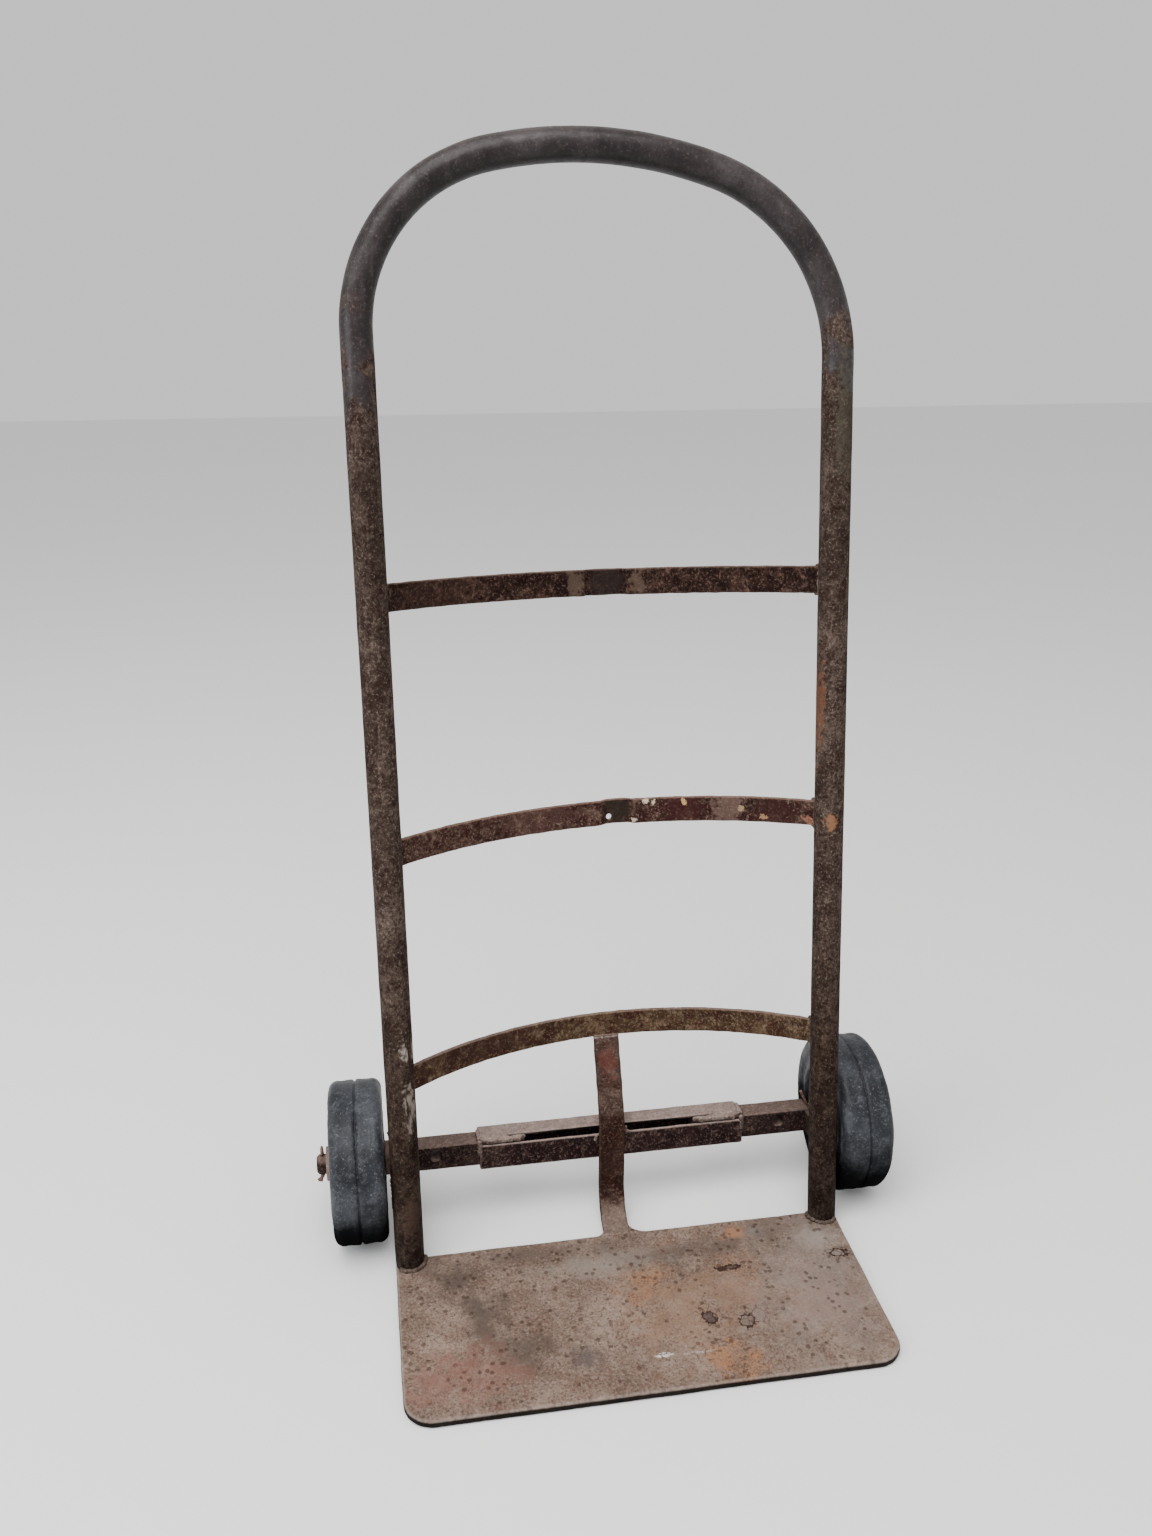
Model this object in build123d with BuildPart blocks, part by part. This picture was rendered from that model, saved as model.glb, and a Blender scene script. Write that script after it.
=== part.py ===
from build123d import *
import math
import os

os.makedirs("parts", exist_ok=True)

# Frame: X to the right, Y to the back, Z up. Origin on the floor midway between the rail feet.
# All sizes in millimetres and degrees.

# nose plate
plate_thickness = 8.0
plate_front = 185.0
plate_back = 6.4
plate_corner_radius = 25.0

# bent frame tube
lean = 8.2
rail_spacing = 400.0
tube_diameter = 26.7
tube_wall = 2.9
left_bend_radius = 136.0
left_bend_start = 825.6
right_bend_radius = 155.0
right_bend_start = 801.0
top_bend_radius = 351.0

# flat crossbars, bowed to the back
bar_width = 24.0
bar_thickness = 5.0
bar_bow = 78.0
upper_bar_height = 616.0
upper_bar_tilt = 1.0
upper_joggle_from = -9.0
upper_joggle_to = 32.0
middle_bar_height = 399.0
middle_bar_tilt = 6.0
middle_joggle_from = 3.0
middle_joggle_to = 34.0
lower_bar_height = 185.5
lower_bar_tilt = 5.7
joggle_depth = 5.0
joggle_run = 4.0
bar_hole_diameter = 6.0
bar_hole_across = 11.0
bar_hole_drop = 5.0

# axle
axle_up = 77.0
axle_back = 57.7
stub_square = 24.0
stub_inner_end = 84.0
stub_square_past_rail = 3.0
spindle_diameter = 19.0
spindle_past_wheel = 39.0
cross_hole_diameter = 12.0
cross_hole_inside_rail = 30.0
cross_hole_rise = 3.0
inner_pin_past_rail = 5.6
outer_pin_past_wheel = 33.8
pin_diameter = 4.2
pin_leg_radius = 1.35

# axle box of two angle irons
angle_thickness = 3.2
box_groove = 4.5
box_lap = -1.7
box_left_end = 128.0
box_right_end = 132.0
box_weld_short = 2.0

# centre strap
strap_width = 25.0
strap_thickness = 5.0
strap_top_centre = 3.0
strap_foot_centre = -2.0
strap_top_back = 77.0
strap_knee_up = 101.0
strap_knee_radius = 24.0
strap_run_on = 0.5
left_foot_fillet = 8.0
right_foot_fillet = 15.0

# axle brackets
bracket_thickness = 6.0
bracket_low = 50.0
bracket_high = 106.0
bracket_neck_back = 31.0

# wheels
wheel_radius = 76.0
wheel_width = 50.0
wheel_past_rail = 43.0
tyre_inner_radius = 46.0
tyre_shoulder_radius = 9.0
tread_groove_width = 3.0
tread_groove_depth = 2.5
rim_band_thickness = 4.0
rim_band_width = 42.0
web_thickness = 6.0
hub_barrel_radius = 19.0
bushing_outer_radius = 12.5
bushing_flange_radius = 16.0
running_clearance = 0.04
side_clearance = 0.3
washer_thickness = 4.7
washer_radius = 16.0

# weld beads
weld_leg = 4.0
foot_weld_back = 3.0

sine = math.sin(math.radians(lean))
cosine = math.cos(math.radians(lean))
half_spacing = rail_spacing / 2
wheel_centre = half_spacing + wheel_past_rail
stub_square_end = half_spacing + stub_square_past_rail
spindle_end = wheel_centre + spindle_past_wheel
cross_hole_across = half_spacing - cross_hole_inside_rail
inner_pin_across = half_spacing + inner_pin_past_rail
outer_pin_across = wheel_centre + outer_pin_past_wheel
angle_tall_leg = stub_square + angle_thickness + box_lap
angle_short_leg = stub_square + angle_thickness - box_groove
tube_radius = tube_diameter / 2
plate_half = half_spacing + tube_radius
foot = Vector(0, 0, plate_thickness)
across_axis = Vector(1, 0, 0)
up_axis = Vector(0, sine, cosine)
back_axis = Vector(0, cosine, -sine)
front_axis = back_axis * -1


def on_frame(across, up, back):
    return foot + across_axis * across + up_axis * up + back_axis * back


rail_plane = Plane(origin=foot, x_dir=across_axis, z_dir=front_axis)
axle_plane = Plane(origin=on_frame(0, axle_up, axle_back), x_dir=back_axis, z_dir=across_axis)
side_plane = Plane(origin=foot, x_dir=back_axis, z_dir=across_axis)
axle_point = on_frame(0, axle_up, axle_back)
turned_axle_plane = Plane(origin=axle_point, x_dir=front_axis, z_dir=across_axis)

# top arch: three arcs tangent to each other and to both rails
left_bend_centre = Vector(-half_spacing + left_bend_radius, left_bend_start)
right_bend_centre = Vector(half_spacing - right_bend_radius, right_bend_start)
centre_line = right_bend_centre - left_bend_centre
centre_gap = centre_line.length
left_reach = top_bend_radius - left_bend_radius
right_reach = top_bend_radius - right_bend_radius
along = (left_reach**2 - right_reach**2 + centre_gap**2) / (2 * centre_gap)
drop = math.sqrt(left_reach**2 - along**2)
centre_step = centre_line.normalized()
top_centre_x = left_bend_centre.X + centre_step.X * along + centre_step.Y * drop
top_centre_y = left_bend_centre.Y + centre_step.Y * along - centre_step.X * drop
top_bend_centre = Vector(top_centre_x, top_centre_y)
left_offset = left_bend_centre - top_bend_centre
right_offset = right_bend_centre - top_bend_centre
left_turn = math.degrees(math.atan2(left_offset.Y, left_offset.X))
right_turn = math.degrees(math.atan2(right_offset.Y, right_offset.X))
tube_start = -8.0


def turned(centre, radius, angle):
    reach = math.radians(angle)
    return (centre.X + radius * math.cos(reach), centre.Y + radius * math.sin(reach))


with BuildPart() as frame_tube:
    with BuildLine(rail_plane) as tube_path:
        Line((-half_spacing, tube_start), (-half_spacing, left_bend_start))
        ThreePointArc(
            (-half_spacing, left_bend_start), turned(left_bend_centre, left_bend_radius, (180 + left_turn) / 2),
            turned(top_bend_centre, top_bend_radius, left_turn)
        )
        ThreePointArc(
            turned(top_bend_centre, top_bend_radius, left_turn),
            turned(top_bend_centre, top_bend_radius, (left_turn + right_turn) / 2),
            turned(top_bend_centre, top_bend_radius, right_turn)
        )
        ThreePointArc(
            turned(top_bend_centre, top_bend_radius, right_turn),
            turned(right_bend_centre, right_bend_radius, right_turn / 2), (half_spacing, right_bend_start)
        )
        Line((half_spacing, right_bend_start), (half_spacing, tube_start))
    tube_end_origin = on_frame(-half_spacing, tube_start, 0)
    with BuildSketch(Plane(origin=tube_end_origin, x_dir=across_axis, z_dir=up_axis)):
        Circle(tube_radius)
        Circle(tube_radius - tube_wall, mode=Mode.SUBTRACT)
    sweep(path=tube_path.wire())
    split(bisect_by=Plane.XY.offset(plate_thickness), keep=Keep.TOP)
frame_tube.part.label = "frame_tube"
export_step(frame_tube.part, "parts/frame_tube.step")

# solid rails, used only to trim what is welded to them
rail_length = left_bend_start
left_rail_plane = Plane(origin=on_frame(-half_spacing, -20, 0), x_dir=across_axis, z_dir=up_axis)
right_rail_plane = Plane(origin=on_frame(half_spacing, -20, 0), x_dir=across_axis, z_dir=up_axis)
rail_rod = Cylinder(tube_radius, rail_length, align=(Align.CENTER, Align.CENTER, Align.MIN))
left_rail_rod = left_rail_plane.location * rail_rod
right_rail_rod = right_rail_plane.location * rail_rod

with BuildPart() as nose_plate:
    with BuildSketch(Plane.XY):
        with Locations((0, (plate_back - plate_front) / 2)):
            Rectangle(plate_half * 2, plate_front + plate_back)
    extrude(amount=plate_thickness)
    upright_edges = nose_plate.edges().filter_by(Axis.Z)
    fillet(upright_edges.group_by(Axis.Y)[0], plate_corner_radius)
    fillet(nose_plate.edges().filter_by(Axis.Z).group_by(Axis.Y)[-1], 2.0)
    fillet(nose_plate.edges().group_by(Axis.Z)[-1], 0.8)
nose_plate.part.label = "nose_plate"
export_step(nose_plate.part, "parts/nose_plate.step")

# crossbars and the weld collars at their ends
bow_radius = (half_spacing**2 + bar_bow**2) / (2 * bar_bow)
bow_centre = bar_bow - bow_radius
front_radius = bow_radius - bar_thickness / 2
back_radius = bow_radius + bar_thickness / 2


def bow(radius, across):
    return (across, bow_centre + math.sqrt(radius**2 - across**2))


bar_planes = {}
for bar_name, bar_height, bar_tilt in (
    ("upper_crossbar", upper_bar_height, upper_bar_tilt),
    ("middle_crossbar", middle_bar_height, middle_bar_tilt),
    ("lower_crossbar", lower_bar_height, lower_bar_tilt),
):
    slope = math.atan2(bar_tilt, half_spacing)
    tilted_up = up_axis * math.cos(slope) - across_axis * math.sin(slope)
    tilted_across = across_axis * math.cos(slope) + up_axis * math.sin(slope)
    bar_origin = on_frame(0, bar_height, 0)
    bar_planes[bar_name] = Plane(origin=bar_origin, x_dir=tilted_across, z_dir=tilted_up)

joggled_bars = {}
for bar_name, joggle_from, joggle_to in (
    ("upper_crossbar", upper_joggle_from, upper_joggle_to),
    ("middle_crossbar", middle_joggle_from, middle_joggle_to),
):
    step_from = joggle_from + joggle_run
    step_to = joggle_to - joggle_run
    back_step = back_radius + joggle_depth
    front_step = front_radius + joggle_depth
    middle = (step_from + step_to) / 2
    left_middle = (joggle_from - half_spacing) / 2
    right_middle = (joggle_to + half_spacing) / 2
    with BuildPart() as joggled_bar:
        with BuildSketch(bar_planes[bar_name]):
            with BuildLine():
                ThreePointArc(
                    bow(back_radius, -half_spacing), bow(back_radius, left_middle), bow(back_radius, joggle_from)
                )
                Line(bow(back_radius, joggle_from), bow(back_step, step_from))
                ThreePointArc(bow(back_step, step_from), bow(back_step, middle), bow(back_step, step_to))
                Line(bow(back_step, step_to), bow(back_radius, joggle_to))
                ThreePointArc(
                    bow(back_radius, joggle_to), bow(back_radius, right_middle), bow(back_radius, half_spacing)
                )
                Line(bow(back_radius, half_spacing), bow(front_radius, half_spacing))
                ThreePointArc(
                    bow(front_radius, half_spacing), bow(front_radius, right_middle), bow(front_radius, joggle_to)
                )
                Line(bow(front_radius, joggle_to), bow(front_step, step_to))
                ThreePointArc(bow(front_step, step_to), bow(front_step, middle), bow(front_step, step_from))
                Line(bow(front_step, step_from), bow(front_radius, joggle_from))
                ThreePointArc(
                    bow(front_radius, joggle_from), bow(front_radius, left_middle), bow(front_radius, -half_spacing)
                )
                Line(bow(front_radius, -half_spacing), bow(back_radius, -half_spacing))
            make_face()
        extrude(amount=bar_width / 2, both=True)
        if bar_name == "middle_crossbar":
            hole_up = middle_bar_height - bar_hole_drop
            hole_plane = Plane(on_frame(bar_hole_across, hole_up, bar_bow), x_dir=across_axis, z_dir=back_axis)
            with BuildSketch(hole_plane):
                Circle(bar_hole_diameter / 2)
            extrude(amount=bar_bow / 2, both=True, mode=Mode.SUBTRACT)
        add(left_rail_rod, mode=Mode.SUBTRACT)
        add(right_rail_rod, mode=Mode.SUBTRACT)
    joggled_bars[bar_name] = joggled_bar
    joggled_bar.part.label = bar_name
    export_step(joggled_bar.part, "parts/" + bar_name + ".step")

with BuildPart() as lower_crossbar:
    with BuildSketch(bar_planes["lower_crossbar"]):
        with BuildLine():
            ThreePointArc(bow(back_radius, -half_spacing), bow(back_radius, 0), bow(back_radius, half_spacing))
            Line(bow(back_radius, half_spacing), bow(front_radius, half_spacing))
            ThreePointArc(bow(front_radius, half_spacing), bow(front_radius, 0), bow(front_radius, -half_spacing))
            Line(bow(front_radius, -half_spacing), bow(back_radius, -half_spacing))
        make_face()
    extrude(amount=bar_width / 2, both=True)
    add(left_rail_rod, mode=Mode.SUBTRACT)
    add(right_rail_rod, mode=Mode.SUBTRACT)
lower_crossbar.part.label = "lower_crossbar"
export_step(lower_crossbar.part, "parts/lower_crossbar.step")

collar_start = tube_radius - 4.0
collar_length = 4.0 + weld_leg
end_across = half_spacing - collar_start * 0.76
end_slope = end_across / math.sqrt(bow_radius**2 - end_across**2)
for bar_name, bar_part in (
    ("upper_crossbar", joggled_bars["upper_crossbar"].part),
    ("middle_crossbar", joggled_bars["middle_crossbar"].part),
    ("lower_crossbar", lower_crossbar.part),
):
    bar_plane = bar_planes[bar_name]
    with BuildPart() as bar_welds:
        for side in (-1, 1):
            end_back = bow(bow_radius, end_across)[1]
            collar_origin = bar_plane.from_local_coords(Vector(side * end_across, end_back, 0))
            inward = (bar_plane.x_dir * -side + bar_plane.y_dir * end_slope).normalized()
            with BuildSketch(Plane(collar_origin, x_dir=bar_plane.z_dir, z_dir=inward)):
                RectangleRounded(bar_width + weld_leg * 2, bar_thickness + weld_leg * 2, weld_leg)
            extrude(amount=collar_length, taper=20)
        add(bar_part, mode=Mode.SUBTRACT)
        add(left_rail_rod, mode=Mode.SUBTRACT)
        add(right_rail_rod, mode=Mode.SUBTRACT)
    weld_name = bar_name.replace("crossbar", "bar_welds")
    bar_welds.part.label = weld_name
    export_step(bar_welds.part, "parts/" + weld_name + ".step")

with BuildPart() as rail_foot_welds:
    with Locations((-half_spacing, 0, plate_thickness), (half_spacing, 0, plate_thickness)):
        Cone(
            tube_radius + weld_leg + 1.0,
            tube_radius + 0.6,
            weld_leg + 1.0,
            align=(Align.CENTER, Align.CENTER, Align.MIN),
        )
    with BuildSketch(Plane.XY.offset(plate_thickness)):
        with Locations((0, (foot_weld_back - plate_front) / 2)):
            Rectangle(plate_half * 2 - 1.6, plate_front + foot_weld_back)
    extrude(amount=weld_leg + 1.0, mode=Mode.INTERSECT)
    add(left_rail_rod, mode=Mode.SUBTRACT)
    add(right_rail_rod, mode=Mode.SUBTRACT)
rail_foot_welds.part.label = "rail_foot_welds"
export_step(rail_foot_welds.part, "parts/rail_foot_welds.step")

# axle stubs: square bar turned down to a round spindle
for side, stub_name in ((-1, "left_axle_stub"), (1, "right_axle_stub")):
    with BuildPart() as axle_stub:
        with BuildSketch(axle_plane.offset(side * stub_inner_end)):
            RectangleRounded(stub_square, stub_square, 1.2)
        extrude(amount=side * (stub_square_end - stub_inner_end))
        with BuildSketch(axle_plane.offset(side * stub_square_end)):
            Circle(spindle_diameter / 2)
        extrude(amount=side * (spindle_end - stub_square_end))
        stub_ends = axle_stub.faces().sort_by(Axis.X)
        outer_face = stub_ends[0] if side < 0 else stub_ends[-1]
        chamfer(outer_face.edges(), 1.5)
        hole_origin = on_frame(side * cross_hole_across, axle_up + cross_hole_rise, axle_back)
        with BuildSketch(Plane(hole_origin, x_dir=across_axis, z_dir=back_axis)):
            Circle(cross_hole_diameter / 2)
        extrude(amount=stub_square, both=True, mode=Mode.SUBTRACT)
        for pin_across in (inner_pin_across, outer_pin_across):
            pin_origin = on_frame(side * pin_across, axle_up, axle_back)
            with BuildSketch(Plane(pin_origin, x_dir=across_axis, z_dir=up_axis)):
                Circle(pin_diameter / 2)
            extrude(amount=stub_square, both=True, mode=Mode.SUBTRACT)
    axle_stub.part.label = stub_name
    export_step(axle_stub.part, "parts/" + stub_name + ".step")

# angle irons: the same profile, turned half round for the rear one
half_square = stub_square / 2
corner = -half_square - angle_thickness
for angle_plane, angle_name in ((axle_plane, "axle_front_angle"), (turned_axle_plane, "axle_rear_angle")):
    with BuildPart() as angle_iron:
        with BuildSketch(angle_plane.offset(-box_left_end)):
            with BuildLine():
                Polyline(
                    (corner, corner),
                    (corner + angle_short_leg, corner),
                    (corner + angle_short_leg, -half_square),
                    (-half_square, -half_square),
                    (-half_square, corner + angle_tall_leg),
                    (corner, corner + angle_tall_leg),
                    (corner, corner),
                )
            make_face()
        extrude(amount=box_left_end + box_right_end)
        long_edges = angle_iron.edges().filter_by(Axis.X)
        heel = angle_plane.from_local_coords(Vector(corner, corner, 0))
        fillet(long_edges.sort_by_distance(heel)[0], 2.4)
    angle_iron.part.label = angle_name
    export_step(angle_iron.part, "parts/" + angle_name + ".step")

with BuildPart() as axle_box_welds:
    for angle_plane in (axle_plane, turned_axle_plane):
        for weld_from, weld_to in ((-box_left_end + box_weld_short, -stub_inner_end),
                                   (stub_inner_end, box_right_end - box_weld_short)):
            with BuildSketch(angle_plane.offset(weld_from)):
                with BuildLine():
                    Polyline(
                        (-half_square, half_square),
                        (-corner - angle_short_leg, half_square),
                        (-corner - angle_short_leg, -corner),
                        (-half_square + 1.0, -corner - 0.2),
                        (corner + 0.6, corner + angle_tall_leg),
                        (-half_square, corner + angle_tall_leg),
                        (-half_square, half_square),
                    )
                make_face()
            extrude(amount=weld_to - weld_from)
axle_box_welds.part.label = "axle_box_welds"
export_step(axle_box_welds.part, "parts/axle_box_welds.step")

# brackets carrying the stubs behind the rails
for side, bracket_name in ((-1, "left_axle_bracket"), (1, "right_axle_bracket")):
    bracket_start = side * half_spacing - bracket_thickness / 2
    stub_face = axle_back - half_square
    with BuildPart() as axle_bracket:
        with BuildSketch(side_plane.offset(bracket_start)):
            with BuildLine():
                Polyline(
                    (0, bracket_low),
                    (bracket_neck_back, axle_up - half_square + 1.0),
                    (stub_face, axle_up - half_square + 1.0),
                    (stub_face, axle_up + half_square - 1.0),
                    (bracket_neck_back, axle_up + half_square - 1.0),
                    (0, bracket_high),
                    (0, bracket_low),
                )
            make_face()
        extrude(amount=bracket_thickness)
        add(left_rail_rod if side < 0 else right_rail_rod, mode=Mode.SUBTRACT)
    axle_bracket.part.label = bracket_name
    export_step(axle_bracket.part, "parts/" + bracket_name + ".step")

# centre strap: bent flat from the lower crossbar over the axle box down to the plate
strap_back_face = axle_back - half_square - angle_thickness
strap_centre_back = strap_back_face - strap_thickness / 2
strap_top_up = lower_bar_height - bar_width / 2
# the strap ends level, butted to the back edge of the plate, flush with its top
foot_z = plate_thickness - strap_thickness / 2
foot_y = plate_back
tangent = sine / cosine
reach_back = tangent * (foot_z - plate_thickness + sine * strap_centre_back) + cosine * strap_centre_back
bend_scale = cosine - tangent * (1 - sine)
strap_bend_radius = (reach_back - foot_y - strap_run_on) / bend_scale
strap_bend_up = (foot_z + (1 - sine) * strap_bend_radius - plate_thickness + sine * strap_centre_back) / cosine
bend_start = on_frame(0, strap_bend_up, strap_centre_back)
down_start = 90 - lean
down_middle = down_start / 2


def bend_point(down):
    run = math.sin(math.radians(down_start)) - math.sin(math.radians(down))
    fall = math.cos(math.radians(down)) - math.cos(math.radians(down_start))
    return (bend_start.Y - strap_bend_radius * run, bend_start.Z - strap_bend_radius * fall)


bend_finish = bend_point(0)
knee = on_frame(0, strap_knee_up, strap_centre_back)
top_point = on_frame(0, strap_top_up, strap_top_back)
top_run = Vector(0, top_point.Y - knee.Y, top_point.Z - knee.Z)
strap_top = top_point + top_run.normalized() * 12
strap_shift = strap_top_centre - strap_foot_centre
strap_lean = math.degrees(math.atan2(strap_shift, lower_bar_height))
with BuildPart() as centre_strap:
    with BuildLine(Plane.YZ) as strap_path:
        upper_run = Polyline((strap_top.Y, strap_top.Z), (knee.Y, knee.Z), (bend_start.Y, bend_start.Z))
        fillet(strap_path.vertices().sort_by_distance(knee)[0], strap_knee_radius)
        ThreePointArc((bend_start.Y, bend_start.Z), bend_point(down_middle), bend_finish)
        Line(bend_finish, (foot_y, foot_z))
    with BuildSketch(Plane(origin=(0, strap_top.Y, strap_top.Z), x_dir=across_axis, z_dir=top_run * -1)):
        Rectangle(strap_width, strap_thickness)
    sweep(path=strap_path.wires()[0])
    lower_side = bar_planes["lower_crossbar"].offset(-bar_width / 2)
    split(bisect_by=lower_side, keep=Keep.BOTTOM)
centre_strap.part.label = "centre_strap"
export_step(centre_strap.part, "parts/centre_strap.step")

fillet_floor = plate_thickness - strap_thickness
strap_half = strap_width / 2
with BuildPart() as strap_welds:
    with BuildSketch(Plane.XY.offset(fillet_floor)):
        for side, size in ((-1, left_foot_fillet), (1, right_foot_fillet)):
            with BuildLine():
                Line((side * (strap_half - 1), plate_back), (side * (strap_half + size), plate_back))
                RadiusArc(
                    (side * (strap_half + size), plate_back),
                    (side * strap_half, plate_back + size),
                    side * size,
                )
                Line((side * strap_half, plate_back + size), (side * (strap_half - 1), plate_back + size))
                Line((side * (strap_half - 1), plate_back + size), (side * (strap_half - 1), plate_back))
            make_face()
    extrude(amount=strap_thickness - 0.6)
    top_weld_origin = on_frame(0, strap_top_up, strap_top_back - strap_thickness / 2 - 1.0)
    with BuildSketch(lower_side):
        with Locations((0, strap_top_back - strap_thickness / 2 - 1.0)):
            Rectangle(strap_width, 3.0)
    extrude(amount=-3.0)
    add(centre_strap.part, mode=Mode.SUBTRACT)
    add(lower_crossbar.part, mode=Mode.SUBTRACT)
strap_welds.part.label = "strap_welds"
export_step(strap_welds.part, "parts/strap_welds.step")

# washers and split pins
inner_washer_from = wheel_centre - wheel_width / 2 - side_clearance - washer_thickness
outer_washer_from = wheel_centre + wheel_width / 2 + side_clearance
for side, side_name in ((-1, "left"), (1, "right")):
    for washer_from, place in ((inner_washer_from, "inner"), (outer_washer_from, "outer")):
        with BuildPart() as washer:
            with BuildSketch(axle_plane.offset(side * washer_from)):
                Circle(washer_radius)
                Circle(spindle_diameter / 2, mode=Mode.SUBTRACT)
            extrude(amount=side * washer_thickness)
        washer_name = side_name + "_" + place + "_washer"
        washer.part.label = washer_name
        export_step(washer.part, "parts/" + washer_name + ".step")

shank_reach = spindle_diameter / 2 + 1.5
inner_leg_length = 17.0
inner_leg_splays = (-27.0, 27.0)
outer_leg_length = 9.0
outer_leg_splays = (6.0, 52.0)
eye_radius = 3.2
for side, side_name in ((-1, "left"), (1, "right")):
    for pin_across, place, legs, leg_length, splays in (
        (inner_pin_across, "inner", 1, inner_leg_length, inner_leg_splays),
        (outer_pin_across, "outer", -1, outer_leg_length, outer_leg_splays),
    ):
        pin_plane = Plane(
            on_frame(side * pin_across, axle_up, axle_back), x_dir=across_axis, z_dir=up_axis * legs
        )
        with BuildPart(pin_plane) as split_pin:
            Cylinder(pin_diameter / 2, shank_reach * 2)
            for splay in splays:
                with Locations(Location((0, 0, shank_reach - 0.6), (0, side * splay, 0))):
                    Cylinder(pin_leg_radius, leg_length, align=(Align.CENTER, Align.CENTER, Align.MIN))
            with Locations((0, 0, shank_reach - 0.6)):
                Sphere(pin_diameter / 2)
            with Locations(Location((0, 0, -shank_reach - eye_radius + 0.8), (0, 90, 0))):
                Torus(eye_radius, pin_leg_radius)
        pin_name = side_name + "_" + place + "_pin"
        split_pin.part.label = pin_name
        export_step(split_pin.part, "parts/" + pin_name + ".step")

# wheels
half_width = wheel_width / 2
groove_half = tread_groove_width / 2
groove_floor = wheel_radius - tread_groove_depth
for side, side_name in ((-1, "left"), (1, "right")):
    hub_plane = Plane(axle_point + across_axis * (side * wheel_centre), x_dir=across_axis, z_dir=(0, -1, 0))
    wheel_axis = Axis(axle_point, (1, 0, 0))
    with BuildPart() as tyre:
        with BuildSketch(hub_plane):
            with BuildLine():
                Polyline(
                    (-half_width, tyre_inner_radius),
                    (half_width, tyre_inner_radius),
                    (half_width, wheel_radius),
                    (groove_half, wheel_radius),
                    (groove_half, groove_floor),
                    (-groove_half, groove_floor),
                    (-groove_half, wheel_radius),
                    (-half_width, wheel_radius),
                    (-half_width, tyre_inner_radius),
                )
            profile = make_face()
            outer_corners = profile.vertices().sort_by_distance(hub_plane.origin)
            fillet(outer_corners[-2:], tyre_shoulder_radius)
        revolve(axis=wheel_axis)
    tyre.part.label = side_name + "_tyre"
    export_step(tyre.part, "parts/" + side_name + "_tyre.step")

    band_inner = tyre_inner_radius - rim_band_thickness
    with BuildPart() as hub:
        with BuildSketch(hub_plane):
            with Locations((0, (tyre_inner_radius + band_inner) / 2)):
                Rectangle(rim_band_width, rim_band_thickness)
            with Locations((0, (hub_barrel_radius + band_inner) / 2)):
                Rectangle(web_thickness, band_inner - hub_barrel_radius + 2)
            with Locations((0, (hub_barrel_radius + bushing_outer_radius) / 2)):
                Rectangle(wheel_width - 4, hub_barrel_radius - bushing_outer_radius)
        revolve(axis=wheel_axis)
    hub.part.label = side_name + "_hub"
    export_step(hub.part, "parts/" + side_name + "_hub.step")

    bushing_bore = spindle_diameter / 2 + running_clearance
    with BuildPart() as bushing:
        with BuildSketch(hub_plane):
            with Locations((0, (bushing_outer_radius + bushing_bore) / 2)):
                Rectangle(wheel_width, bushing_outer_radius - bushing_bore)
            with Locations((half_width - 1, (bushing_flange_radius + bushing_bore) / 2),
                           (1 - half_width, (bushing_flange_radius + bushing_bore) / 2)):
                Rectangle(2, bushing_flange_radius - bushing_bore)
        revolve(axis=wheel_axis)
    bushing.part.label = side_name + "_bushing"
    export_step(bushing.part, "parts/" + side_name + "_bushing.step")
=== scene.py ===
import math
import random

import bmesh
import bpy
from mathutils import Matrix, Vector, noise


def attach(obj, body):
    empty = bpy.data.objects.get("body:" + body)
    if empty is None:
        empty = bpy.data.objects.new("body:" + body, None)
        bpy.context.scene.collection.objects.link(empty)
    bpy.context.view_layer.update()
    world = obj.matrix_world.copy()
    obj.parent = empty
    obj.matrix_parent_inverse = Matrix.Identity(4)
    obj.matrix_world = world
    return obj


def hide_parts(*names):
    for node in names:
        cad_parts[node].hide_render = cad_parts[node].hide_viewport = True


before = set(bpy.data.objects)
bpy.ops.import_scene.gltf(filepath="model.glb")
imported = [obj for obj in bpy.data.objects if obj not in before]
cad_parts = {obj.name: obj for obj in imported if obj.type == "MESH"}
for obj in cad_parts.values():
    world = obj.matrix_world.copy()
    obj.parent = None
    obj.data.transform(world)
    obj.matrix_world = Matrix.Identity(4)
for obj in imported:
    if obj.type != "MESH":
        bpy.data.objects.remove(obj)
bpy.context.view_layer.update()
mm = 0.001
upZ = Vector((0, 0, 1))
print("frame loaded")

# Places on the truck are given in rail space: x across, y back from the rails, z up along them.
truck = {"lean": 8.2, "plateTop": 8.0, "railHalf": 200.0, "axleBack": 57.7, "axleUp": 77.0}
onRails = Matrix.Translation((0, 0, truck["plateTop"] * mm)) @ Matrix.Rotation(math.radians(-truck["lean"]), 4, "X")
onFloor = Matrix.Identity(4)


# camera, lights and floor

view = {
    "place": (-205.5, -978.8, 867.6), "pitch": 20.8, "turn": -9.43, "roll": 0.03, "lens": 30.38,
    "floor": (0.82, 0.82, 0.82), "world": (1.0, 1.0, 1.0), "worldPower": 0.85,
}


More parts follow.
